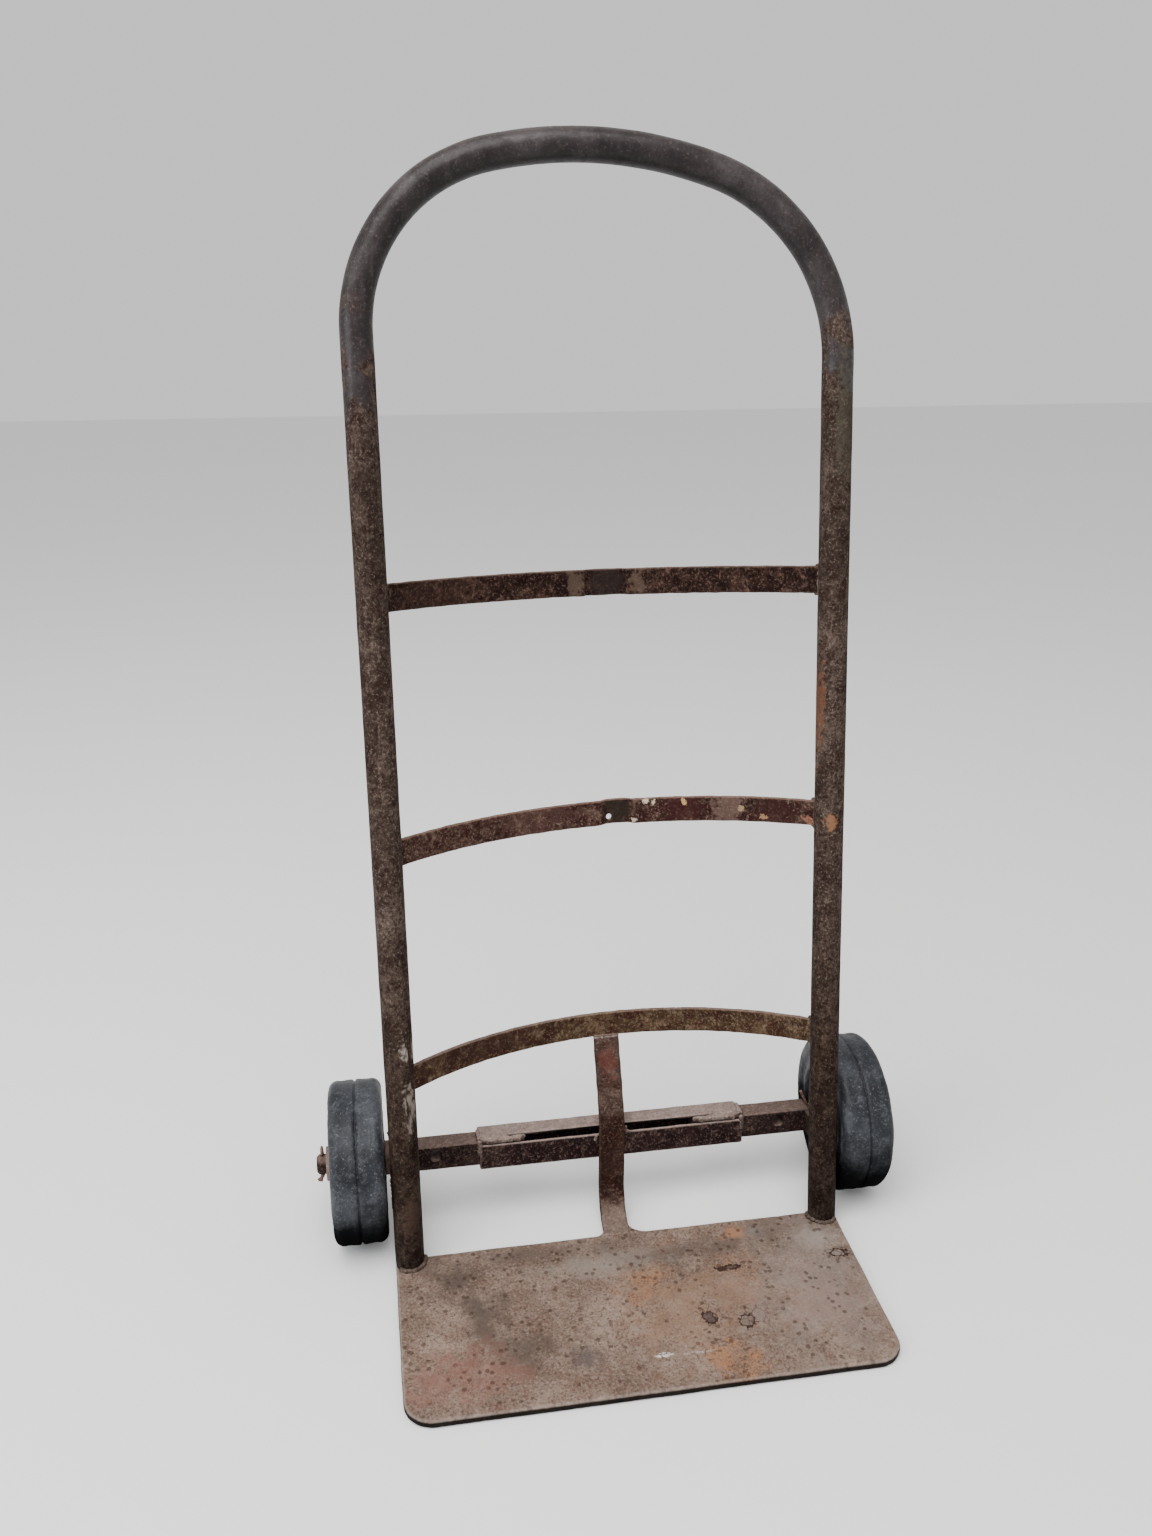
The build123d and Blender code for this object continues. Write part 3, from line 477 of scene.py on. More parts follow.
looks["pin"] = weatheredSteel("redRustPin", {
    "seed": 7.0, "dark": (0.077, 0.036, 0.029), "middle": (0.140, 0.078, 0.064), "light": (0.210, 0.136, 0.118),
    "mottle": (0.105, 0.043, 0.031), "mottleAmount": 0.5, "pale": (0.252, 0.182, 0.154), "pit": (0.025, 0.013, 0.010),
    "grit": (0.336, 0.266, 0.231), "wear": (0.294, 0.224, 0.196), "wearAmount": 0.4,
})
looks["hub"] = weatheredSteel("darkHub", {
    "seed": 8.0, "dark": (0.010, 0.009, 0.009), "middle": (0.022, 0.019, 0.018), "light": (0.045, 0.036, 0.031),
    "mottle": (0.048, 0.026, 0.018), "mottleAmount": 0.4, "pit": (0.006, 0.005, 0.005), "grit": (0.12, 0.10, 0.09),
    "roughLow": 0.7, "roughHigh": 0.9, "metal": 0.1,
})
looks["bushing"] = weatheredSteel("dullBronze", {
    "seed": 9.0, "dark": (0.100, 0.062, 0.034), "middle": (0.190, 0.125, 0.065), "light": (0.300, 0.205, 0.115),
    "mottle": (0.080, 0.060, 0.040), "mottleAmount": 0.5, "pit": (0.030, 0.021, 0.015), "grit": (0.42, 0.33, 0.22),
    "roughLow": 0.4, "roughHigh": 0.7, "metal": 0.6, "sheen": 0.4,
})


# the pipe: chocolate rust up the rails with pale flecks in lines, darker and smoother over the arch, with painted shade
# on its undersides and toward its feet
def pipeFinish():
    r = Recipe("rustedPipe")
    broad = r.noise(24, 5, 0.65, 0.5, seed=11)
    stretched = r.tree.nodes.new("ShaderNodeMapping")
    r.plug(stretched.inputs["Vector"], r.coords)
    stretched.inputs["Scale"].default_value = (1.0, 1.0, 0.12)
    streak = r.noise(150, 4, 0.65, 0.2, coords=stretched.outputs["Vector"], seed=12)
    grit = r.noise(420, 4, 0.8, seed=13)
    blotch = r.noise(135, 6, 0.72, 0.6, seed=14)
    mottle = r.range(blotch, 0.50, 0.58)
    pale = r.range(blotch, 0.38, 0.46, 1.0, 0.0)
    rust = r.ramp(broad, [(0.34, (0.021, 0.013, 0.010)), (0.5, (0.041, 0.028, 0.022)), (0.66, (0.074, 0.054, 0.043))])
    rust = r.mix(r.sum("MULTIPLY", mottle, 0.7), rust, (0.018, 0.007, 0.006))
    rust = r.mix(r.sum("MULTIPLY", pale, 0.45), rust, (0.098, 0.068, 0.053))
    rust = r.mix(r.range(streak, 0.54, 0.72, 0.0, 0.5), rust, (0.130, 0.094, 0.076))
    rust = r.mix(r.range(streak, 0.34, 0.46, 0.5, 0.0), rust, (0.030, 0.017, 0.014))
    smooth = r.ramp(broad, [(0.34, (0.010, 0.007, 0.008)), (0.5, (0.020, 0.015, 0.016)), (0.66, (0.040, 0.032, 0.034))])
    smooth = r.mix(r.range(streak, 0.5, 0.75, 0.0, 0.3), smooth, (0.066, 0.056, 0.058))
    smooth = r.mix(r.range(blotch, 0.54, 0.66, 0.0, 0.5), smooth, (0.018, 0.010, 0.010))
    handle = r.sum("ADD", r.band(2, 800, 1200, 90), r.range(r.noise(24, 4, 0.6, seed=15), 0.35, 0.65, -0.35, 0.35))
    handle = r.range(handle, 0.3, 0.7)
    colour = r.mix(handle, rust, smooth)
    keep = r.range(handle, 0.0, 1.0, 1.0, 0.4)
    gritDark = r.range(grit, 0.40, 0.48, 0.7, 0.0)
    gritLight = r.range(grit, 0.55, 0.63, 0.0, 0.30)
    colour = r.mix(r.sum("MULTIPLY", gritDark, keep), colour, (0.012, 0.008, 0.007))
    colour = r.mix(r.sum("MULTIPLY", gritLight, keep), colour, (0.30, 0.235, 0.20))
    for at, reach, tint, amount in (
        ((-188, 20, 222), (10, 14, 12), (0.52, 0.47, 0.43), 0.75),
        ((-193, 12, 168), (6, 14, 24), (0.46, 0.41, 0.37), 0.6),
        ((197, 46, 405), (6, 14, 8), (0.210, 0.100, 0.054), 0.75),
        ((187, 62, 512), (4, 20, 44), (0.130, 0.052, 0.028), 0.5),
        ((205, 96, 755), (12, 24, 60), (0.062, 0.056, 0.040), 0.5),
        ((-196, -6, 60), (9, 14, 26), (0.110, 0.070, 0.058), 0.5),
    ):
        patch = r.spot(at, reach, 0.5, 0.8, 210, seed=16)
        if tint[0] > 0.4:
            patch = r.sum("MULTIPLY", patch, r.range(streak, 0.44, 0.56))
        colour = r.mix(r.sum("MULTIPLY", patch, amount), colour, tint)
    colour = r.mix(r.sum("MULTIPLY", r.upFacing(0.55, 0.98), r.range(handle, 0.0, 1.0, 0.7, 0.08)), colour,
                   (0.20, 0.165, 0.145))
    # painted shade: downward-facing pipe surfaces are multiplied to 42%
    under = r.upFacing(-0.95, 0.15)
    colour = r.mix(under, r.mix(1.0, colour, grey(0.42), "MULTIPLY"), colour)
    # painted shade by height: darker toward the rail feet and in a band near 700 mm up
    colour = r.shade(colour, [(0, (0.42, 0.40, 0.38)), (190, (0.62, 0.58, 0.55)), (330, grey(1.0)), (560, grey(1.0)),
                              (700, grey(0.78)), (800, grey(1.0)), (1000, grey(1.0))])
    rough = r.range(handle, 0.0, 1.0, 0.74, 0.40)
    rough = r.sum("ADD", rough, r.range(mottle, 0.0, 1.0, -0.05, 0.08))
    normal = r.bump(broad, 0.3, 1.0 * mm)
    normal = r.bump(r.sum("MULTIPLY", blotch, keep), 0.5, 0.8 * mm, normal)
    normal = r.bump(r.sum("MULTIPLY", grit, keep), 0.6, 0.35 * mm, normal)
    return r.finish(colour, rough, 0.1, normal, r.range(handle, 0.0, 1.0, 0.04, 0.20))


looks["pipe"] = pipeFinish()


# old solid rubber: dusty blue-grey on top of the tread; painted shade in the creases makes the groove and the inner
# shoulder nearly black, and painted shade makes the tyre nearly black below axle height, turning with the wheel
def rubberFinish():
    r = Recipe("dustyRubber")
    broad = r.noise(20, 5, 0.6, 0.3, seed=21)
    colour = r.ramp(broad, [(0.34, (0.009, 0.010, 0.012)), (0.5, (0.020, 0.022, 0.027)), (0.66, (0.046, 0.050, 0.058))])
    dust = r.range(r.noise(75, 6, 0.72, 0.5, seed=22), 0.48, 0.62)
    colour = r.mix(r.sum("MULTIPLY", dust, 0.45), colour, (0.075, 0.080, 0.088))
    grit = r.noise(400, 4, 0.8, seed=23)
    colour = r.mix(r.range(grit, 0.37, 0.48, 0.6, 0.0), colour, (0.010, 0.010, 0.012))
    colour = r.mix(r.range(grit, 0.56, 0.64, 0.0, 0.4), colour, (0.20, 0.20, 0.205))
    # painted shade: concave creases such as the groove and the inner shoulder are darkened nearly black
    crease = r.edges(0.43, 0.485)
    colour = r.mix(r.range(crease, 0.0, 1.0, 0.9, 0.0, soft=False), colour, (0.006, 0.006, 0.007))
    # painted shade: the tyre below about 74 mm up (axle height at rest) goes nearly black; the mask is in the tyre's
    # own coordinates, so it turns with the wheel
    side = r.sum("ADD", r.band(2, 74, 400, 44), r.range(broad, 0.3, 0.7, -0.16, 0.16))
    colour = r.mix(r.range(side, 0.0, 1.0, 0.95, 0.0), colour, (0.003, 0.003, 0.003))
    normal = r.bump(broad, 0.3, 1.0 * mm)
    normal = r.bump(dust, 0.3, 0.4 * mm, normal)
    normal = r.bump(grit, 0.45, 0.3 * mm, normal)
    rough = r.range(dust, 0.0, 1.0, 0.42, 0.72)
    return r.finish(colour, rough, 0.0, normal, r.range(side, 0.25, 1.1, 0.0, 0.2))


looks["rubber"] = rubberFinish()
print("materials mixed")


# shaping helpers

def linkPiece(name, bm, look, body, cadNodes, smooth=True):
    bmesh.ops.recalc_face_normals(bm, faces=bm.faces)
    mesh = bpy.data.meshes.new(name)
    bm.to_mesh(mesh)
    bm.free()
    mesh.materials.append(looks[look])
    if smooth:
        mesh.polygons.foreach_set("use_smooth", [True] * len(mesh.polygons))
    piece = bpy.data.objects.new(name, mesh)
    bpy.context.scene.collection.objects.link(piece)
    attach(piece, body)
    if cadNodes:
        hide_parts(*cadNodes)
    return piece


def reworked(bm, addModifiers):
    # puts a shape through modifiers on a scratch object and gives back the result
    mesh = bpy.data.meshes.new("scratch")
    bm.to_mesh(mesh)
    bm.free()
    scratch = bpy.data.objects.new("scratch", mesh)
    bpy.context.scene.collection.objects.link(scratch)
    addModifiers(scratch)
    graph = bpy.context.evaluated_depsgraph_get()
    result = bpy.data.meshes.new_from_object(scratch.evaluated_get(graph))
    out = bmesh.new()
    out.from_mesh(result)
    bpy.data.objects.remove(scratch)
    bpy.data.meshes.remove(result)
    return out


def evenSkin(bm, voxel, soften=2):
    # an even fine skin over overlapping rough shapes, so that dents and lumps can be worked into it
    def addModifiers(scratch):
        remesh = scratch.modifiers.new("even", "REMESH")
        remesh.mode = "VOXEL"
        remesh.voxel_size = voxel * mm
        if soften:
            relax = scratch.modifiers.new("soften", "SMOOTH")
            relax.factor = 0.5
            relax.iterations = soften
    return reworked(bm, addModifiers)


def carve(bm, cutter, kind="DIFFERENCE"):
    cutMesh = bpy.data.meshes.new("cutter")
    cutter.to_mesh(cutMesh)
    cutter.free()
    cutObject = bpy.data.objects.new("cutter", cutMesh)
    bpy.context.scene.collection.objects.link(cutObject)

    def addModifiers(scratch):
        cut = scratch.modifiers.new("cut", "BOOLEAN")
        cut.operation = kind
        cut.solver = "EXACT"
        cut.object = cutObject
    out = reworked(bm, addModifiers)
    bpy.data.objects.remove(cutObject)
    return out


def rod(bm, start, end, radius, segments=24, endRadius=None):
    # a straight round bar between two points (mm)
    a, b = Vector(start) * mm, Vector(end) * mm
    turn = upZ.rotation_difference(b - a).to_matrix().to_4x4()
    bmesh.ops.create_cone(bm, cap_ends=True, segments=segments, radius1=radius * mm,
                          radius2=(radius if endRadius is None else endRadius) * mm, depth=(b - a).length,
                          matrix=Matrix.Translation((a + b) / 2) @ turn)


def block(bm, low, high, round=0.0, segments=2):
    low, high = Vector(low), Vector(high)
    size = (high - low) * mm
    made = bmesh.ops.create_cube(bm, size=1, matrix=Matrix.Translation((low + high) / 2 * mm)
                                 @ Matrix.Diagonal((*size, 1)))
    if round:
        edges = {edge for vert in made["verts"] for edge in vert.link_edges}
        bmesh.ops.bevel(bm, geom=list(edges), offset=round * mm, segments=segments, affect="EDGES",
                        profile=0.5, material=-1)


def roughen(bm, lump, lumpSize, pit=0.0, pitSize=6.0, seed=0, fine=0.0, fineSize=3.0):
    # pushes the skin in and out along its normals: broad lumps, small scabs and round pits (mm)
    bm.normal_update()
    shift = Vector((seed * 7.3, seed * 3.1, seed * 5.7))
    moves = []
    for vert in bm.verts:
        at = vert.co / mm
        push = noise.noise(at / lumpSize + shift) * lump
        if fine:
            push += noise.noise(at / fineSize + shift * 2) * fine
        if pit:
            nearest = noise.voronoi(at / pitSize + shift)[0][0]
            push -= max(0.0, 0.38 - nearest) / 0.38 * pit * max(0.0, noise.noise(at / (pitSize * 4) - shift) + 0.25)
        moves.append(vert.normal * push * mm)
    for vert, move in zip(bm.verts, moves):
        vert.co += move


def beadAlong(bm, points, radius, seed, step=0.55, squash=0.8):
    # overlapping blobs laid along a line of points (mm): a hand-run weld
    dice = random.Random(seed)
    for a, b in zip(points, points[1:]):
        a, b = Vector(a), Vector(b)
        count = max(2, int((b - a).length / (radius * step)))
        for i in range(count):
            at = a.lerp(b, (i + dice.uniform(0.0, 0.5)) / count)
            at += Vector([dice.uniform(-0.18, 0.18) * radius for _ in range(3)])
            size = radius * dice.uniform(0.78, 1.15)
            bmesh.ops.create_icosphere(bm, subdivisions=2, radius=size * mm,
                                       matrix=Matrix.Translation(at * mm) @ Matrix.Diagonal((1, squash, 1, 1)))


# the bent pipe: up the left rail, round three tangent bends and down the right one

pipe = {
    "radius": 13.35, "leftBend": (136.0, 825.6), "rightBend": (155.0, 801.0), "topBend": 351.0,
    "start": -8.0, "around": 40, "stride": 5.0, "lump": 0.22, "lumpSize": 26.0, "pit": 0.35, "pitSize": 5.0,
}


def topBendCentre():
    leftR, leftUp = pipe["leftBend"]
    rightR, rightUp = pipe["rightBend"]
    a = Vector((-truck["railHalf"] + leftR, leftUp))
    b = Vector((truck["railHalf"] - rightR, rightUp))
    gap = (b - a).length
    step = (b - a).normalized()
    reachA, reachB = pipe["topBend"] - leftR, pipe["topBend"] - rightR
    along = (reachA ** 2 - reachB ** 2 + gap ** 2) / (2 * gap)
    drop = math.sqrt(reachA ** 2 - along ** 2)
    centre = a + step * along + Vector((step.y, -step.x)) * drop
    leftTurn = math.atan2(a.y - centre.y, a.x - centre.x)
    rightTurn = math.atan2(b.y - centre.y, b.x - centre.x)
    return a, b, centre, leftTurn, rightTurn


def makePipe():
    leftCentre, rightCentre, topCentre, leftTurn, rightTurn = topBendCentre()
    bm = bmesh.new()
    half = truck["railHalf"]
    start = Matrix.Translation(Vector((-half, 0, pipe["start"])) * mm)
    bmesh.ops.create_circle(bm, cap_ends=False, segments=pipe["around"], radius=pipe["radius"] * mm, matrix=start)
    rim = list(bm.edges)

    def run(rim, distance):
        count = max(1, round(abs(distance) / pipe["stride"]))
        for _ in range(count):
            made = bmesh.ops.extrude_edge_only(bm, edges=rim)["geom"]
            verts = [part for part in made if isinstance(part, bmesh.types.BMVert)]
            rim = [part for part in made if isinstance(part, bmesh.types.BMEdge)]
            bmesh.ops.translate(bm, verts=verts, vec=(0, 0, distance / count * mm))
        return rim

    def sweep(rim, centre, radius, angle):
        count = max(4, round(radius * angle / pipe["stride"]))
        made = bmesh.ops.spin(bm, geom=rim, cent=Vector((centre.x, 0, centre.y)) * mm, axis=(0, 1, 0),
                              dvec=(0, 0, 0), angle=angle, steps=count, use_duplicate=False)
        return [part for part in made["geom_last"] if isinstance(part, bmesh.types.BMEdge)]

    rim = run(rim, pipe["leftBend"][1] - pipe["start"])
    rim = sweep(rim, leftCentre, pipe["leftBend"][0], math.pi - leftTurn)
    rim = sweep(rim, topCentre, pipe["topBend"], leftTurn - rightTurn)
    rim = sweep(rim, rightCentre, pipe["rightBend"][0], rightTurn)
    run(rim, pipe["start"] - pipe["rightBend"][1])
    bmesh.ops.recalc_face_normals(bm, faces=bm.faces)
    roughen(bm, pipe["lump"], pipe["lumpSize"], pipe["pit"], pipe["pitSize"], seed=1)
    bmesh.ops.transform(bm, matrix=onRails, verts=bm.verts)
    cutHeight = Vector((0, 0, truck["plateTop"] * mm))
    bmesh.ops.bisect_plane(bm, geom=bm.verts[:] + bm.edges[:] + bm.faces[:], plane_co=cutHeight, plane_no=upZ,
                           clear_inner=True)
    bmesh.ops.holes_fill(bm, edges=[edge for edge in bm.edges if edge.is_boundary])
    return linkPiece("bentPipe", bm, "pipe", "frame", ["frame_tube"])


makePipe()
print("pipe bent")


# flat bars bowed to the back, two of them joggled near the middle

bars = {
    "width": 24.0, "thick": 5.0, "bow": 78.0, "joggleDepth": 5.0, "joggleRun": 5.0, "edgeRound": 1.0,
    "upper": {"up": 616.0, "tilt": 1.0, "joggle": (-9, 32), "look": "upperBar", "slot": "bar_steel", "seed": 3},
    "middle": {"up": 399.0, "tilt": 6.0, "joggle": (3, 34), "look": "middleBar", "slot": "bar_steel", "seed": 5},
    "lower": {"up": 185.5, "tilt": 5.7, "joggle": None, "look": "lowerBar", "slot": "lower_bar_steel", "seed": 7},
    "hole": {"across": 11.0, "drop": 5.0, "radius": 3.0},
    "lump": 0.35, "lumpSize": 9.0, "pit": 0.45, "pitSize": 3.5,
}
bowRadius = (truck["railHalf"] ** 2 + bars["bow"] ** 2) / (2 * bars["bow"])
bowCentre = bars["bow"] - bowRadius


def bowBack(across):
    return bowCentre + math.sqrt(bowRadius ** 2 - across ** 2)


def barUp(bar, across):
    return bar["up"] + bar["tilt"] * across / truck["railHalf"]


def makeBar(name):
    bar = bars[name]
    halfAngle = math.asin((truck["railHalf"] - 6) / bowRadius)
    bm = bmesh.new()
    stand = Matrix.Translation(Vector((0, bowRadius, 0)) * mm) @ Matrix.Rotation(math.pi / 2, 4, "Y")
    stand = stand @ Matrix.Rotation(math.pi / 2, 4, "Z")
    bmesh.ops.create_grid(bm, x_segments=1, y_segments=1, size=1, matrix=stand @ Matrix.Diagonal(
        (bars["thick"] / 2 * mm, bars["width"] / 2 * mm, 1, 1)))
    bmesh.ops.rotate(bm, verts=bm.verts, cent=(0, 0, 0), matrix=Matrix.Rotation(halfAngle, 3, "Z"))
    face = list(bm.faces)
    made = bmesh.ops.spin(bm, geom=face, cent=(0, 0, 0), axis=(0, 0, 1), dvec=(0, 0, 0), angle=-2 * halfAngle,
                          steps=150, use_duplicate=False)
    bmesh.ops.holes_fill(bm, edges=[edge for edge in bm.edges if edge.is_boundary])
    bmesh.ops.recalc_face_normals(bm, faces=bm.faces)
    corners = [edge for edge in bm.edges if len(edge.link_faces) == 2 and edge.calc_face_angle() > 1.0]
    bmesh.ops.bevel(bm, geom=corners, offset=bars["edgeRound"] * mm, segments=2, affect="EDGES", profile=0.5,
                    material=-1)
    bmesh.ops.translate(bm, verts=bm.verts, vec=Vector((0, bowCentre, 0)) * mm)
    if bar["joggle"]:
        low, high = bar["joggle"]
        for vert in bm.verts:
            across = vert.co.x / mm
            rise = min((across - low) / bars["joggleRun"], (high - across) / bars["joggleRun"], 1.0)
            if rise > 0:
                rise = rise * rise * (3 - 2 * rise)
                vert.co.y += bars["joggleDepth"] * rise * mm
    if name == "middle":
        hole = bars["hole"]
        cutter = bmesh.new()
        back = bowBack(hole["across"])
        rod(cutter, (hole["across"], back - 20, -hole["drop"]), (hole["across"], back + 30, -hole["drop"]),
            hole["radius"])
        bm = carve(bm, cutter)
    bm = evenSkin(bm, 1.1, 2)
    tilt = Matrix.Rotation(-math.atan2(bar["tilt"], truck["railHalf"]), 4, "Y")
    lift = Matrix.Translation(Vector((0, 0, bar["up"])) * mm)
    bmesh.ops.transform(bm, matrix=lift @ tilt, verts=bm.verts)
    roughen(bm, bars["lump"], bars["lumpSize"], bars["pit"], bars["pitSize"], seed=bar["seed"])
    bmesh.ops.transform(bm, matrix=onRails, verts=bm.verts)
    return linkPiece(name + "Crossbar", bm, bar["look"], "frame", [name + "_crossbar"])


for barName in ("upper", "middle", "lower"):
    makeBar(barName)
print("crossbars bowed")


# nose plate

plate = {
    "half": 213.35, "front": -185.0, "back": 6.4, "thick": 8.0, "corner": 25.0, "edge": 1.3, "voxel": 2.0,
    "lump": 0.4, "lumpSize": 34.0, "pit": 0.7, "pitSize": 7.0, "fine": 0.12,
}


def makePlate():
    bm = bmesh.new()
    rim = [bm.verts.new(Vector((x, y, 0)) * mm) for x, y in (
        (-plate["half"], plate["front"]), (plate["half"], plate["front"]),
        (plate["half"], plate["back"]), (-plate["half"], plate["back"]))]
    bm.faces.new(rim)
    bmesh.ops.bevel(bm, geom=rim[:2], offset=plate["corner"] * mm * 1.0, segments=12, affect="VERTICES",
                    profile=0.5, material=-1)
    raised = bmesh.ops.extrude_face_region(bm, geom=list(bm.faces), use_keep_orig=True)["geom"]
    bmesh.ops.translate(bm, verts=[part for part in raised if isinstance(part, bmesh.types.BMVert)],
                        vec=(0, 0, plate["thick"] * mm))
    bmesh.ops.recalc_face_normals(bm, faces=bm.faces)
    sharp = [edge for edge in bm.edges if len(edge.link_faces) == 2 and edge.calc_face_angle() > 1.0]
    bmesh.ops.bevel(bm, geom=sharp, offset=plate["edge"] * mm, segments=2, affect="EDGES", profile=0.5, material=-1)
    bm = evenSkin(bm, plate["voxel"], 1)
    roughen(bm, plate["lump"], plate["lumpSize"], plate["pit"], plate["pitSize"], seed=9, fine=plate["fine"])
    for vert in bm.verts:
        vert.co.z = max(vert.co.z, 0.0)
    return linkPiece("nosePlate", bm, "plate", "frame", ["nose_plate"])


makePlate()
print("plate cut")


# centre strap: under the lower bar, down over the axle box, round to the plate

strap = {
    "width": 25.0, "thick": 5.0, "topBack": 77.0, "topUp": 175.0, "kneeUp": 101.0, "kneeRadius": 24.0,
    "boxFace": 42.5, "bendUp": 36.4, "bendRadius": 38.3, "intoPlate": 2.2, "topX": 3.0, "footX": -2.0,
    "fillets": {"left": 8.0, "right": 15.0},
}


def makeStrap():
    back = strap["boxFace"] - strap["thick"] / 2
    run = Vector((0, strap["topBack"] - back, strap["topUp"] - strap["kneeUp"]))
    slant = math.atan2(run.y, run.z)
    bm = bmesh.new()
    top = Vector((0, strap["topBack"], strap["topUp"]))
    place = Matrix.Translation(top * mm) @ Matrix.Rotation(-slant, 4, "X")
    shape = Matrix.Diagonal((strap["width"] / 2 * mm, strap["thick"] / 2 * mm, 1, 1))
    bmesh.ops.create_grid(bm, x_segments=1, y_segments=1, size=1, matrix=place @ shape)
    faces = list(bm.faces)

    def push(faces, move):
        made = bmesh.ops.extrude_face_region(bm, geom=faces)["geom"]
        verts = [part for part in made if isinstance(part, bmesh.types.BMVert)]
        bmesh.ops.translate(bm, verts=verts, vec=move * mm)
        return [part for part in made if isinstance(part, bmesh.types.BMFace)]

    def turn(faces, centre, angle, count):
        made = bmesh.ops.spin(bm, geom=faces, cent=centre * mm, axis=(1, 0, 0), dvec=(0, 0, 0), angle=angle,
                              steps=count, use_duplicate=False)
        return [part for part in made["geom_last"] if isinstance(part, bmesh.types.BMFace)]

    tangent = strap["kneeRadius"] * math.tan(slant / 2)
    down = -run.normalized()
    straight = run.length - tangent
    faces = push(faces, down * straight)
    kneeCentre = Vector((0, back + strap["kneeRadius"], strap["kneeUp"] - tangent))
    faces = turn(faces, kneeCentre, slant, 5)
    faces = push(faces, Vector((0, 0, strap["bendUp"] - (strap["kneeUp"] - tangent))))
    bendAngle = math.radians(90 - truck["lean"])
    bendCentre = Vector((0, back - strap["bendRadius"], strap["bendUp"]))
    faces = turn(faces, bendCentre, -bendAngle, 14)
    foot = Vector((0, -math.sin(bendAngle), -math.cos(bendAngle)))
    push(faces, foot * strap["intoPlate"])
    bmesh.ops.holes_fill(bm, edges=[edge for edge in bm.edges if edge.is_boundary])
    bmesh.ops.recalc_face_normals(bm, faces=bm.faces)
    long = [edge for edge in bm.edges if len(edge.link_faces) == 2 and edge.calc_face_angle() > 1.2]
    bmesh.ops.bevel(bm, geom=long, offset=0.9 * mm, segments=2, affect="EDGES", profile=0.5, material=-1)
    slide = (strap["topX"] - strap["footX"]) / strap["topUp"]
    for vert in bm.verts:
        vert.co.x += (strap["footX"] + slide * vert.co.z / mm) * mm
    bm = evenSkin(bm, 1.1, 2)
    roughen(bm, 0.4, 10.0, 0.4, 3.5, seed=11)
    bmesh.ops.transform(bm, matrix=onRails, verts=bm.verts)
    return linkPiece("centreStrap", bm, "strap", "frame", ["centre_strap"])


makeStrap()


def makeStrapFillets():
    # the hollow corners where the strap's foot spreads into the plate's back edge
    bm = bmesh.new()
    half, edge, low, high = strap["width"] / 2, plate["back"], 3.2, 7.5
    for side, size in ((-1, strap["fillets"]["left"]), (1, strap["fillets"]["right"])):
        outline = [(side * (half - 3), edge - 2.5), (side * (half + size + 3), edge - 2.5)]
        for step in range(9):
            a = math.radians(step * 90 / 8)
            outline.append((side * (half + size * (1 - math.sin(a))), edge + size * (1 - math.cos(a))))
        outline.append((side * (half - 3), edge + size))
        verts = [bm.verts.new(Vector((x + strap["footX"], y, low)) * mm) for x, y in outline]
        made = bmesh.ops.extrude_face_region(bm, geom=[bm.faces.new(verts)], use_keep_orig=True)["geom"]
        bmesh.ops.translate(bm, verts=[part for part in made if isinstance(part, bmesh.types.BMVert)],
                            vec=(0, 0, (high - low) * mm))
    bmesh.ops.recalc_face_normals(bm, faces=bm.faces)
    beadAlong(bm, [(-16, 6.8, 6.9), (16, 7.0, 6.9)], 1.5, 371, squash=1.6)
    bm = evenSkin(bm, 1.0, 3)
    roughen(bm, 0.35, 6.0, seed=12)
    for vert in bm.verts:
        vert.co.z = min(vert.co.z, 8.5 * mm)
    return linkPiece("strapFootFillets", bm, "plate", "frame", [])


makeStrapFillets()
print("strap bent")


# axle: two angle irons closed round the square stubs

axle = {
    "square": 12.0, "thick": 3.2, "tall": 25.5, "short": 22.7, "left": 128.0, "right": 132.0, "heel": 2.4,
    "stubIn": 84.0, "squareOut": 203.0, "spindle": 9.5, "out": 282.0, "crossAt": 170.0, "crossRise": 3.0,
    "crossRadius": 6.0, "voxel": 1.1,
}
axleAt = Vector((0, truck["axleBack"], truck["axleUp"]))


def makeAngle(name, node, half, seed):
    heel = -axle["square"] - axle["thick"]
    bm = bmesh.new()
    block(bm, (-axle["left"], heel, heel), (axle["right"], heel + axle["thick"], heel + axle["tall"] - (0.0 if half else 0.6)), 0.7)
    block(bm, (-axle["left"], heel, heel), (axle["right"], heel + axle["short"] - 1.0, heel + axle["thick"]), 0.7)
    bm = evenSkin(bm, axle["voxel"], 2)
    roughen(bm, 0.35, 12.0, 0.35, 3.5, seed=seed)
    if half:
        bmesh.ops.rotate(bm, verts=bm.verts, cent=(0, 0, 0), matrix=Matrix.Rotation(math.pi, 3, "X"))
    bmesh.ops.transform(bm, matrix=onRails @ Matrix.Translation(axleAt * mm), verts=bm.verts)
    return linkPiece(name, bm, "axle", "frame", [node])


makeAngle("frontAngle", "axle_front_angle", False, 13)
makeAngle("rearAngle", "axle_rear_angle", True, 14)


